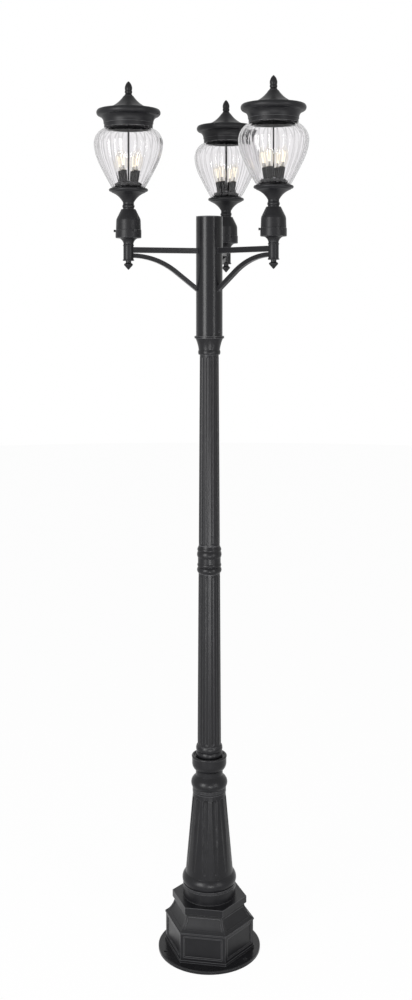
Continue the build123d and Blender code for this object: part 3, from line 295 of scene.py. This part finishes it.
def face_outwards(piece):
    """Merges doubles and turns every face outwards."""
    take(piece)
    bpy.ops.object.mode_set(mode="EDIT")
    bpy.ops.mesh.select_all(action="SELECT")
    bpy.ops.mesh.remove_doubles(threshold=0.01 * MM)
    bpy.ops.mesh.normals_make_consistent(inside=False)
    bpy.ops.object.mode_set(mode="OBJECT")


def close_ends(piece):
    """Fills the open rings of a turned piece."""
    take(piece)
    bpy.ops.object.mode_set(mode="EDIT")
    bpy.ops.mesh.select_all(action="DESELECT")
    bpy.ops.mesh.select_mode(type="EDGE")
    bpy.ops.mesh.select_non_manifold()
    bpy.ops.mesh.edge_face_add()
    bpy.ops.mesh.select_mode(type="VERT")
    bpy.ops.object.mode_set(mode="OBJECT")


def copy_at(piece, name, matrix):
    """A copy with its own mesh, placed by a matrix that goes into the mesh."""
    made = piece.copy()
    made.data = piece.data.copy()
    made.name = name
    made.data.name = name
    bpy.context.scene.collection.objects.link(made)
    made.data.transform(matrix)
    return made


def discard(*patterns):
    """Removes the patterns that the copies were made from."""
    for piece in patterns:
        bpy.data.objects.remove(piece)


def centre_of(name):
    """The middle of a CAD node's foot."""
    low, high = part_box(name)
    return Vector(((low.x + high.x) / 2, (low.y + high.y) / 2, low.z))


# --- materials ----------------------------------------------------------------------------

# Sockets of a colour Mix node, whose names repeat
MIX_FACTOR, MIX_FIRST, MIX_SECOND, MIX_RESULT = 0, 6, 7, 2
GLASS_IOR = 1.38  # real glass has 1.5, at which the lobes break up what is inside more than in the photo
BULB_VEIL = 0.55  # share of the filaments' light that a bulb's glass gives off


def node(material, kind, sockets=None, links=None, **settings):
    """Adds one shader node with its settings, socket values and incoming links."""
    made = material.node_tree.nodes.new(kind)
    for name, value in settings.items():
        setattr(made, name, value)
    for name, value in (sockets or {}).items():
        made.inputs[name].default_value = value
    for name, source in (links or {}).items():
        material.node_tree.links.new(source, made.inputs[name])
    return made


def new_material(name):
    """An empty node material and its output."""
    material = bpy.data.materials.new(name)
    material.use_nodes = True
    material.node_tree.nodes.clear()
    output = material.node_tree.nodes.new("ShaderNodeOutputMaterial")
    return material, output


def wear(piece, material):
    """Gives a piece one material."""
    piece.data.materials.clear()
    piece.data.materials.append(material)


# Powder coats: (ripple's width, ripple's height, change of roughness, width of an edge, painted shade tone)
COATS = {
    "powder_coat_on_casting": (34 * MM, 0.35 * MM, -0.1, 0.9 * MM, 1.0),
    "powder_coat_on_small_casting": (20 * MM, 0.2 * MM, -0.02, 0.8 * MM, 1.0),
    "powder_coat_on_spun_sheet": (60 * MM, 0.2 * MM, 0.0, 1.0 * MM, 1.0),
    "powder_coat_on_tube": (90 * MM, 0.04 * MM, -0.16, 0.4 * MM, 1.0),
    "powder_coat_on_fluted_post": (90 * MM, 0.04 * MM, -0.1, 1.3 * MM, 1.0),
    # The sleeves inside the glass get the same black coat darkened to 0.45: painted shade
    "powder_coat_on_sleeve_with_painted_shade": (90 * MM, 0.04 * MM, 0.0, 0.4 * MM, 0.45),
}
CREASE_REACH = 5.0  # edge widths over which a crease gets painted shade
CORNER_REACH = 2.0  # edge widths over which a corner gets a painted highlight
GRAIN_HEIGHT = 0.12 * MM


def powder_coat(name, coat):
    """Black polyester powder coat, sprayed dry and baked: a fine even grain that breaks up the gloss.
    Creases get painted shade, a darker colour, and sharp corners a painted highlight, a lighter one.
    Castings under it also have the slow ripple of their sand mould."""
    ripple, ripple_height, rougher, edge, painted_shade_tone = COATS[name]
    shine = coat.roughness + rougher
    material, output = new_material(name)
    place = node(material, "ShaderNodeTexCoord").outputs["Object"]
    # The real grain is about 0.6 mm, too fine to show here, so it is drawn as coarse as it is set
    grain = node(
        material,
        "ShaderNodeTexNoise",
        {"Scale": 1 / coat.grain, "Detail": 3.0, "Roughness": 0.6},
        {"Vector": place},
    )
    slow = node(
        material,
        "ShaderNodeTexNoise",
        {"Scale": 1 / ripple, "Detail": 2.0, "Roughness": 0.5},
        {"Vector": place},
    )
    shade = node(material, "ShaderNodeValToRGB", links={"Fac": slow.outputs["Fac"]})
    dark, light = shade.color_ramp.elements
    dark.position, light.position = 0.3, 0.7
    # A tone under 1 darkens the coat's colours as painted shade
    dark.color = (*[0.88 * painted_shade_tone * c for c in coat.colour], 1)
    light.color = (*[1.14 * painted_shade_tone * c for c in coat.colour], 1)
    # Painted shade darkens the creases, and a painted highlight in a lighter colour sits on the corners
    crease = node(
        material,
        "ShaderNodeAmbientOcclusion",
        {"Distance": CREASE_REACH * edge},
        samples=4,
        only_local=True,
    )
    corner = node(
        material,
        "ShaderNodeAmbientOcclusion",
        {"Distance": CORNER_REACH * edge},
        samples=4,
        only_local=True,
        inside=True,
    )
    # Painted shade: the colour darkens where the crease's ambient occlusion is low
    painted_crease_shade = node(
        material,
        "ShaderNodeMapRange",
        {"From Min": 0.55, "From Max": 0.95, "To Min": 0.15, "To Max": 1.0},
        {"Value": crease.outputs["AO"]},
    )
    # Painted highlight: mask of the convex corners, which get the lighter colour
    painted_corner_highlight = node(
        material,
        "ShaderNodeMapRange",
        {"From Min": 0.93, "From Max": 0.6, "To Min": 0.0, "To Max": 1.0},
        {"Value": corner.outputs["AO"]},
    )
    shaded_in_creases = node(
        material,
        "ShaderNodeMix",
        {MIX_FACTOR: 1.0},
        {MIX_FIRST: shade.outputs["Color"], MIX_SECOND: painted_crease_shade.outputs["Result"]},
        data_type="RGBA",
        blend_type="MULTIPLY",
    )
    # Painted highlight: the lighter colour mixed in on the corners
    with_painted_highlight = node(
        material,
        "ShaderNodeMix",
        {MIX_SECOND: (*coat.edge, 1)},
        {MIX_FACTOR: painted_corner_highlight.outputs["Result"], MIX_FIRST: shaded_in_creases.outputs[MIX_RESULT]},
        data_type="RGBA",
    )
    gloss = node(
        material,
        "ShaderNodeMapRange",
        {"From Min": 0.3, "From Max": 0.7, "To Min": shine - 0.05, "To Max": shine + 0.06},
        {"Value": grain.outputs["Fac"]},
    )
    eased = node(material, "ShaderNodeBevel", {"Radius": edge}, samples=4)
    broad = node(
        material,
        "ShaderNodeBump",
        {"Strength": 0.5, "Distance": ripple_height},
        {"Height": slow.outputs["Fac"], "Normal": eased.outputs["Normal"]},
    )
    fine = node(
        material,
        "ShaderNodeBump",
        {"Strength": 0.45, "Distance": GRAIN_HEIGHT},
        {"Height": grain.outputs["Fac"], "Normal": broad.outputs["Normal"]},
    )
    surface = node(
        material,
        "ShaderNodeBsdfPrincipled",
        {"IOR": 1.5, "Specular IOR Level": coat.gloss},
        {
            "Base Color": with_painted_highlight.outputs[MIX_RESULT],
            "Roughness": gloss.outputs["Result"],
            "Normal": fine.outputs["Normal"],
        },
    )
    material.node_tree.links.new(surface.outputs["BSDF"], output.inputs["Surface"])
    return material


def zinc_plate(name):
    """Zinc plated steel, bright but slightly clouded, on the threads and nuts inside."""
    material, output = new_material(name)
    place = node(material, "ShaderNodeTexCoord").outputs["Object"]
    cloud = node(material, "ShaderNodeTexNoise", {"Scale": 1 / (8 * MM), "Detail": 4.0}, {"Vector": place})
    shade = node(material, "ShaderNodeValToRGB", links={"Fac": cloud.outputs["Fac"]})
    shade.color_ramp.elements[0].color = (*linear("#9a9c9d"), 1)
    shade.color_ramp.elements[1].color = (*linear("#c9cbcb"), 1)
    gloss = node(
        material,
        "ShaderNodeMapRange",
        {"From Min": 0.3, "From Max": 0.7, "To Min": 0.28, "To Max": 0.42},
        {"Value": cloud.outputs["Fac"]},
    )
    surface = node(
        material,
        "ShaderNodeBsdfPrincipled",
        {"Metallic": 1.0},
        {"Base Color": shade.outputs["Color"], "Roughness": gloss.outputs["Result"]},
    )
    material.node_tree.links.new(surface.outputs["BSDF"], output.inputs["Surface"])
    return material


def socket_plastic(name):
    """Moulded black phenolic of the lamp sockets: a dull skin with faint flow marks."""
    material, output = new_material(name)
    place = node(material, "ShaderNodeTexCoord").outputs["Object"]
    flow = node(material, "ShaderNodeTexNoise", {"Scale": 1 / (5 * MM), "Detail": 2.0}, {"Vector": place})
    shade = node(material, "ShaderNodeValToRGB", links={"Fac": flow.outputs["Fac"]})
    shade.color_ramp.elements[0].color = (*linear("#1a1918"), 1)
    shade.color_ramp.elements[1].color = (*linear("#262423"), 1)
    surface = node(
        material, "ShaderNodeBsdfPrincipled", {"Roughness": 0.55}, {"Base Color": shade.outputs["Color"]}
    )
    material.node_tree.links.new(surface.outputs["BSDF"], output.inputs["Surface"])
    return material


def blown_glass(name, tint, edge, crease):
    """Clear soda-lime glass blown in a ribbed mould, with painted shade: greyer where the eye looks along
    the wall, and at the creases between its lobes, where the real glass is thick and bends the light away."""
    material, output = new_material(name)
    place = node(material, "ShaderNodeTexCoord").outputs["Object"]
    drift = node(material, "ShaderNodeTexNoise", {"Scale": 1 / (45 * MM), "Detail": 1.0}, {"Vector": place})
    facing = node(material, "ShaderNodeLayerWeight", {"Blend": 0.35})
    # Painted shade: the glass's colour turns grey where the eye looks along the wall
    shade = node(material, "ShaderNodeValToRGB", links={"Fac": facing.outputs["Facing"]})
    near, far = shade.color_ramp.elements
    near.position, far.position = 0.42, 0.74
    near.color = (*tint, 1)
    far.color = (*edge, 1)
    uneven = node(
        material,
        "ShaderNodeBump",
        {"Strength": 0.25, "Distance": 1.0 * MM},
        {"Height": drift.outputs["Fac"]},
    )
    # Painted shade: a grey tint along the marked creases, stronger at a slant
    crease_shade_mark = node(material, "ShaderNodeAttribute", attribute_name="crease")
    slant = node(
        material,
        "ShaderNodeMapRange",
        {"From Min": 0.1, "From Max": 0.85, "To Min": 0.25, "To Max": 1.0},
        {"Value": facing.outputs["Facing"]},
    )
    depth = node(
        material,
        "ShaderNodeMath",
        links={0: crease_shade_mark.outputs["Fac"], 1: slant.outputs["Result"]},
        operation="MULTIPLY",
    )
    with_painted_crease_shade = node(
        material,
        "ShaderNodeMix",
        {MIX_SECOND: (*crease, 1)},
        {MIX_FACTOR: depth.outputs["Value"], MIX_FIRST: shade.outputs["Color"]},
        data_type="RGBA",
        blend_type="MULTIPLY",
    )
    surface = node(
        material,
        "ShaderNodeBsdfPrincipled",
        {"Roughness": 0.0, "IOR": GLASS_IOR, "Transmission Weight": 1.0},
        {"Base Color": with_painted_crease_shade.outputs[MIX_RESULT], "Normal": uneven.outputs["Normal"]},
    )
    material.node_tree.links.new(surface.outputs["BSDF"], output.inputs["Surface"])
    return material


def bulb_glass(name, tint, glow):
    """Thin clear lamp glass, under a millimetre: it shows by its edge, its gloss and a veil of the lit
    filaments' light."""
    material, output = new_material(name)
    facing = node(material, "ShaderNodeLayerWeight", {"Blend": 0.3})
    cover = node(
        material,
        "ShaderNodeMapRange",
        {"From Min": 0.1, "From Max": 1.0, "To Min": 0.1, "To Max": 0.6},
        {"Value": facing.outputs["Facing"]},
    )
    surface = node(
        material,
        "ShaderNodeBsdfPrincipled",
        {
            "Base Color": (*tint, 1),
            "Roughness": 0.03,
            "IOR": 1.5,
            "Emission Color": (*glow, 1),
            "Emission Strength": BULB_VEIL,
        },
        {"Alpha": cover.outputs["Result"]},
    )
    material.node_tree.links.new(surface.outputs["BSDF"], output.inputs["Surface"])
    return material


def nickel_plate(name):
    """Nickel plated brass of the bulbs' screw caps."""
    material, output = new_material(name)
    place = node(material, "ShaderNodeTexCoord").outputs["Object"]
    rub = node(material, "ShaderNodeTexNoise", {"Scale": 1 / (3 * MM), "Detail": 3.0}, {"Vector": place})
    gloss = node(
        material,
        "ShaderNodeMapRange",
        {"From Min": 0.3, "From Max": 0.7, "To Min": 0.22, "To Max": 0.36},
        {"Value": rub.outputs["Fac"]},
    )
    surface = node(
        material,
        "ShaderNodeBsdfPrincipled",
        {"Base Color": (*linear("#b9b2a4"), 1), "Metallic": 1.0},
        {"Roughness": gloss.outputs["Result"]},
    )
    material.node_tree.links.new(surface.outputs["BSDF"], output.inputs["Surface"])
    return material


def lit_filament(name, glow, strength):
    """A lit filament: warm white, a little uneven along its length."""
    material, output = new_material(name)
    place = node(material, "ShaderNodeTexCoord").outputs["Object"]
    beads = node(material, "ShaderNodeTexNoise", {"Scale": 1 / (2 * MM), "Detail": 1.0}, {"Vector": place})
    shade = node(material, "ShaderNodeValToRGB", links={"Fac": beads.outputs["Fac"]})
    shade.color_ramp.elements[0].color = (*[0.85 * c for c in glow], 1)
    shade.color_ramp.elements[1].color = (*glow, 1)
    surface = node(
        material,
        "ShaderNodeBsdfPrincipled",
        {"Roughness": 0.5, "Emission Strength": strength},
        {"Base Color": shade.outputs["Color"], "Emission Color": shade.outputs["Color"]},
    )
    material.node_tree.links.new(surface.outputs["BSDF"], output.inputs["Surface"])
    return material


# --- operators ----------------------------------------------------------------------------

# Which nodes have which coat, by the start of their names
WEARERS = {
    "powder_coat_on_casting": ("pedestal", "tapered_shaft", "shaft_collar", "mid_collar", "top_collar"),
    "powder_coat_on_small_casting": ("stem_", "drop_finials", "fitter_cup_", "holder_pan_", "finial_"),
    "powder_coat_on_spun_sheet": ("socket_plates", "roof_", "hub_cap"),
    # The sleeves wear the darker copy of the coat, which is painted shade
    "powder_coat_on_sleeve_with_painted_shade": ("candle_sleeves_",),
    "powder_coat_on_fluted_post": ("lower_post", "upper_post"),
}


def finish_of(name, slot):
    """The finish of a CAD node: its plating or plastic, else the coat of its kind of piece."""
    if slot == "zinc_plated_steel":
        return slot
    if slot == "socket_plastic":
        return "moulded_phenolic"
    for finish, starts in WEARERS.items():
        if name.startswith(starts):
            return finish
    return "powder_coat_on_tube"


class LAMPPOST_OT_coat(bpy.types.Operator):
    """Give the metal pieces their powder coat, plating or moulded skin"""

    bl_idname = "lamppost.coat"
    bl_label = "Finish the metal"

    def execute(self, context):
        coat = context.scene.lamppost_coat
        finishes = {name: powder_coat(name, coat) for name in COATS}
        finishes["zinc_plated_steel"] = zinc_plate("zinc_plated_steel")
        finishes["moulded_phenolic"] = socket_plastic("moulded_phenolic")
        slots = {row["node"]: row["material_slot"] for row in frame["record"]["subparts"]}
        for name, piece in frame["nodes"].items():
            wear(piece, finishes[finish_of(name, slots[name])])
        return {"FINISHED"}


def phase_of(vertex, points_round):
    """Where a point of the globe stands on its lobe, counted from the crease."""
    angle = atan2(vertex.co.y, vertex.co.x) % (2 * pi)
    return round(angle / (2 * pi) * points_round) % FLUTE_STEPS


class LAMPPOST_OT_globes(bpy.types.Operator):
    """Blow the three fluted globes"""

    bl_idname = "lamppost.globes"
    bl_label = "Fluted globes"

    def execute(self, context):
        settings = context.scene.lamppost_globe
        points_round = settings.flutes * FLUTE_STEPS
        line = [(GLOBE_FOOT, 0)]
        points, heading = arc_through(line[-1], GLOBE_LOWER, GLOBE_UPPER, 2 * ARC_STEPS)
        line += points
        points, heading = arc_on(GLOBE_UPPER, heading, GLOBE_CREST)
        line += points
        points, heading = arc_on(GLOBE_CREST, heading, GLOBE_SHOULDER, 2 * ARC_STEPS)
        line += points
        line.append((GLOBE_SHOULDER[0], GLOBE_LIP))

        def flute_ring(ring):
            """Presses the creases between the lobes into the first ring."""
            deepest = settings.depth / GLOBE_CREST[0]
            for phase in range(FLUTE_STEPS):
                share = 1 - deepest * (1 - sin(pi * phase / FLUTE_STEPS))
                take(ring)
                bpy.ops.object.mode_set(mode="EDIT")
                bpy.ops.mesh.select_mode(type="VERT")
                bpy.ops.mesh.select_all(action="DESELECT")
                bpy.ops.object.mode_set(mode="OBJECT")
                for vertex in ring.data.vertices:
                    vertex.select = phase_of(vertex, points_round) == phase
                bpy.ops.object.mode_set(mode="EDIT")
                bpy.ops.transform.resize(value=(share, share, 1), center_override=ring.location)
                bpy.ops.object.mode_set(mode="OBJECT")

        pattern = turned("globe_pattern", line, points_round, flute_ring)
        wall = pattern.modifiers.new("wall", "SOLIDIFY")
        wall.thickness = settings.wall
        wall.offset = -1
        face_outwards(pattern)
        apply_modifiers(pattern)
        bpy.ops.object.shade_smooth_by_angle(angle=GLOBE_SMOOTH)
        # Marks the vertices of the creases, where the glass gets painted shade
        creases = pattern.data.attributes.new("crease", "FLOAT", "POINT")
        for vertex, crease_shade_mark in zip(pattern.data.vertices, creases.data):
            crease_shade_mark.value = float(phase_of(vertex, points_round) == 0)
        glass = blown_glass("clear_blown_glass", settings.colour, settings.edge, settings.crease)
        wear(pattern, glass)
        for side in SIDES:
            globe = copy_at(pattern, f"glass_globe_{side}", Matrix.Translation(centre_of(f"globe_{side}")))
            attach(globe, "pole")
            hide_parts(f"globe_{side}")
        discard(pattern)
        return {"FINISHED"}


def envelope_pattern():
    """The bulb's glass, open at its cap."""
    points, _ = arc_through(BULB_NECK, BULB_LOWER, BULB_BELLY, 8)
    line = [BULB_NECK] + points
    points, _ = arc_through(BULB_BELLY, BULB_UPPER, BULB_FLAME, 10)
    line += points + [BULB_TIP]
    envelope = turned("envelope_pattern", line, BULB_SIDES)
    close_ends(envelope)
    face_outwards(envelope)
    bpy.ops.object.shade_smooth_by_angle(angle=BULB_SMOOTH)
    return envelope


def cap_pattern():
    """The screw cap, with its rolled threads and its contact."""
    line = [(CONTACT, -CAP_DEPTH), CONTACT_RIM, (THREAD_ROOT, INSULATOR_HEIGHT - CAP_DEPTH)]
    pitch = THREAD_LENGTH / CAP_THREADS
    for turn in range(CAP_THREADS):
        line.append((THREAD_ROOT, THREAD_FOOT + turn * pitch))
        line.append((CAP_RADIUS, THREAD_FOOT + (turn + 0.5) * pitch))
    line.append((THREAD_ROOT, THREAD_FOOT + CAP_THREADS * pitch))
    line += [(CAP_RADIUS, CAP_SHOULDER_HEIGHT), (BULB_NECK[0], CAP_RIM_HEIGHT)]
    cap = turned("cap_pattern", line, BULB_SIDES)
    close_ends(cap)
    face_outwards(cap)
    bpy.ops.object.shade_smooth_by_angle(angle=SMALL_SMOOTH)
    return cap


def filament_pattern(settings):
    """The glowing sticks, which stand round the glass stem and lean outwards."""
    top = STEM_HEIGHT + settings.filament_length
    parts = []
    for turn in range(settings.filaments):
        angle = 2 * pi * turn / settings.filaments
        foot_circle, top_circle = FILAMENT_FOOT_CIRCLE, FILAMENT_TOP_CIRCLE
        low = Vector((foot_circle * cos(angle), foot_circle * sin(angle), STEM_HEIGHT))
        high = Vector((top_circle * cos(angle), top_circle * sin(angle), top))
        along = high - low
        deselect()
        bpy.ops.mesh.primitive_cylinder_add(vertices=8, radius=FILAMENT_RADIUS, depth=along.length)
        stick = bpy.context.object
        lean = along.to_track_quat("Z", "Y").to_matrix().to_4x4()
        stick.matrix_world = Matrix.Translation((low + high) / 2) @ lean
        bevel = stick.modifiers.new("ends", "BEVEL")
        bevel.width, bevel.segments = FILAMENT_ROUND, 2
        apply_modifiers(stick)
        settle(stick)
        parts.append(stick)
    deselect()
    for part in parts:
        part.select_set(True)
    bpy.context.view_layer.objects.active = parts[0]
    bpy.ops.object.join()
    sticks = bpy.context.object
    sticks.name = "filament_pattern"
    bpy.ops.object.shade_smooth_by_angle(angle=SMALL_SMOOTH)
    return sticks


def mount_pattern(settings):
    """The glass stem inside the bulb, with the wires that carry the sticks."""
    line = [STEM_FOOT, (STEM_RADIUS, STEM_SHOULDER_HEIGHT), STEM_WAIST, (STEM_TOP, STEM_HEIGHT)]
    stem = turned("mount_pattern", line, 12)
    close_ends(stem)
    face_outwards(stem)
    parts = [stem]
    top = STEM_HEIGHT + settings.filament_length
    wire_top = top + WIRE_PROUD
    deselect()
    bpy.ops.mesh.primitive_torus_add(
        major_radius=FILAMENT_TOP_CIRCLE,
        minor_radius=WIRE,
        major_segments=20,
        minor_segments=6,
        location=(0, 0, top),
    )
    parts.append(bpy.context.object)
    deselect()
    bpy.ops.mesh.primitive_cylinder_add(
        vertices=6,
        radius=WIRE,
        depth=wire_top - STEM_HEIGHT,
        location=(0, 0, (STEM_HEIGHT + wire_top) / 2),
    )
    parts.append(bpy.context.object)
    for part in parts:
        settle(part)
    deselect()
    for part in parts:
        part.select_set(True)
    bpy.context.view_layer.objects.active = stem
    bpy.ops.object.join()
    bpy.ops.object.shade_smooth_by_angle(angle=SMALL_SMOOTH)
    return stem


class LAMPPOST_OT_bulbs(bpy.types.Operator):
    """Make the lit candle bulbs and put one on every lamp joint"""

    bl_idname = "lamppost.bulbs"
    bl_label = "Candle bulbs"

    def execute(self, context):
        settings = context.scene.lamppost_bulb
        patterns = {
            "glass": (envelope_pattern(), bulb_glass("thin_lamp_glass", settings.rim, settings.glow)),
            "cap": (cap_pattern(), nickel_plate("nickel_plated_cap")),
            "filament": (
                filament_pattern(settings),
                lit_filament("lit_filament", settings.glow, settings.strength),
            ),
            "mount": (mount_pattern(settings), zinc_plate("mount_wire")),
        }
        for joint in frame["joints"]:
            body = joint["child"]
            if not body.startswith("bulb_"):
                continue
            turn = Vector(joint["axis"]).to_track_quat("Z", "Y").to_matrix().to_4x4()
            place = Matrix.Translation(joint["pos_m"]) @ turn
            for part, (pattern, finish) in patterns.items():
                made = copy_at(pattern, f"{body}_{part}", place)
                wear(made, finish)
                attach(made, body)
                if part == "glass":
                    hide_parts(body)
        discard(*[pattern for pattern, _ in patterns.values()])
        return {"FINISHED"}


def seen_directly(surround):
    """1 for a ray from the camera, through glass or off a gloss, which all show the white surround."""
    path = node(surround, "ShaderNodeLightPath")
    clear = node(
        surround,
        "ShaderNodeMath",
        links={0: path.outputs["Is Camera Ray"], 1: path.outputs["Is Transmission Ray"]},
        operation="MAXIMUM",
    )
    return node(
        surround,
        "ShaderNodeMath",
        links={0: clear.outputs["Value"], 1: path.outputs["Is Glossy Ray"]},
        operation="MAXIMUM",
    )


FLOOR_RADIUS = 14.0
FLOOR_DROP = 0.5 * MM  # below the post's foot
FLOOR_GLOW = 0.97  # share of the floor that the camera sees as plain white
SIGHT = 60.0  # how far the camera sees
LAMP_SPOTS = (
    # name, degrees round from the camera, distance, height, width, tall, watts
    ("key", -40, 3.6, 2.1, 1.4, 2.8, 150),
    ("strip", 42, 3.6, 1.9, 0.4, 3.0, 46),
    ("low_front", 6, 3.2, 0.7, 0.9, 0.9, 42),
    ("low_left", -28, 1.7, 0.3, 0.5, 0.5, 1.5),
)


class LAMPPOST_OT_stage(bpy.types.Operator):
    """Set up the floor, the white surround, the soft lamps and the camera"""

    bl_idname = "lamppost.stage"
    bl_label = "Studio"

    def execute(self, context):
        stage = context.scene.lamppost_stage
        scene = context.scene
        scene.view_settings.view_transform = "Standard"
        deselect()
        bpy.ops.mesh.primitive_circle_add(
            vertices=96, radius=FLOOR_RADIUS, fill_type="NGON", location=(0, 0, -FLOOR_DROP)
        )
        floor = bpy.context.object
        floor.name = "studio_floor"
        floor_paint, output = new_material("studio_floor_paint")
        straight = seen_directly(floor_paint)
        paint = node(floor_paint, "ShaderNodeBsdfDiffuse", {"Color": (*stage.floor, 1)})
        glow = node(floor_paint, "ShaderNodeEmission", {"Color": (1, 1, 1, 1), "Strength": 1.0})
        share = node(
            floor_paint,
            "ShaderNodeMath",
            {1: FLOOR_GLOW},
            {0: straight.outputs["Value"]},
            operation="MULTIPLY",
        )
        mixed = node(
            floor_paint,
            "ShaderNodeMixShader",
            links={"Fac": share.outputs["Value"], 1: paint.outputs["BSDF"], 2: glow.outputs["Emission"]},
        )
        floor_paint.node_tree.links.new(mixed.outputs["Shader"], output.inputs["Surface"])
        wear(floor, floor_paint)

        world = bpy.data.worlds.new("white_surround")
        scene.world = world
        world.use_nodes = True
        world.node_tree.nodes.clear()
        output = world.node_tree.nodes.new("ShaderNodeOutputWorld")
        lit = node(world, "ShaderNodeBackground", {"Color": (1, 1, 1, 1), "Strength": stage.fill})
        white = node(world, "ShaderNodeBackground", {"Color": (1, 1, 1, 1), "Strength": 1.0})
        mixed = node(
            world,
            "ShaderNodeMixShader",
            links={
                "Fac": seen_directly(world).outputs["Value"],
                1: lit.outputs["Background"],
                2: white.outputs["Background"],
            },
        )
        world.node_tree.links.new(mixed.outputs["Shader"], output.inputs["Surface"])

        for name, turn, distance, height, width, tall, watts in LAMP_SPOTS:
            angle = stage.azimuth + radians(turn)
            spot = Vector((distance * sin(angle), -distance * cos(angle), height))
            lamp = bpy.data.lights.new(f"{name}_softbox", "AREA")
            lamp.shape = "RECTANGLE"
            lamp.size, lamp.size_y, lamp.energy = width, tall, watts
            holder = bpy.data.objects.new(f"{name}_softbox", lamp)
            scene.collection.objects.link(holder)
            holder.location = spot
            holder.rotation_euler = (Vector((0, 0, height)) - spot).to_track_quat("-Z", "Y").to_euler()
            # The softboxes stay out of the picture, also where it is seen through glass
            holder.visible_camera = False
            holder.visible_transmission = False

        eye = bpy.data.cameras.new("camera")
        eye.lens, eye.shift_x, eye.shift_y = stage.lens, stage.slide, stage.drop
        eye.clip_end = SIGHT
        camera = bpy.data.objects.new("camera", eye)
        scene.collection.objects.link(camera)
        away, turn = stage.distance, stage.azimuth
        camera.location = (away * sin(turn), -away * cos(turn), stage.eye)
        camera.rotation_euler = (radians(90), 0, turn)
        scene.camera = camera
        return {"FINISHED"}


class LAMPPOST_PT_panel(bpy.types.Panel):
    """Lists the steps that dress the lamp post."""

    bl_idname = "LAMPPOST_PT_panel"
    bl_label = "Lamp post"
    bl_space_type = "VIEW_3D"
    bl_region_type = "UI"
    bl_category = "Lamp post"

    def draw(self, context):
        for step in STEPS:
            self.layout.operator(step.bl_idname)
        for group in GROUPS:
            settings = getattr(context.scene, group)
            box = self.layout.box()
            for name in settings.__annotations__:
                box.prop(settings, name)


GROUPS = {
    "lamppost_coat": CoatSettings,
    "lamppost_globe": GlobeSettings,
    "lamppost_bulb": BulbSettings,
    "lamppost_stage": StageSettings,
}
STEPS = (LAMPPOST_OT_coat, LAMPPOST_OT_globes, LAMPPOST_OT_bulbs, LAMPPOST_OT_stage)


def register():
    for made in (*GROUPS.values(), *STEPS, LAMPPOST_PT_panel):
        bpy.utils.register_class(made)
    for name, group in GROUPS.items():
        setattr(bpy.types.Scene, name, PointerProperty(type=group))


def unregister():
    for name in GROUPS:
        delattr(bpy.types.Scene, name)
    for made in (LAMPPOST_PT_panel, *reversed(STEPS), *GROUPS.values()):
        bpy.utils.unregister_class(made)


def main():
    register()
    bpy.ops.lamppost.coat()
    bpy.ops.lamppost.globes()
    bpy.ops.lamppost.bulbs()
    bpy.ops.lamppost.stage()


if __name__ == "__main__":
    main()
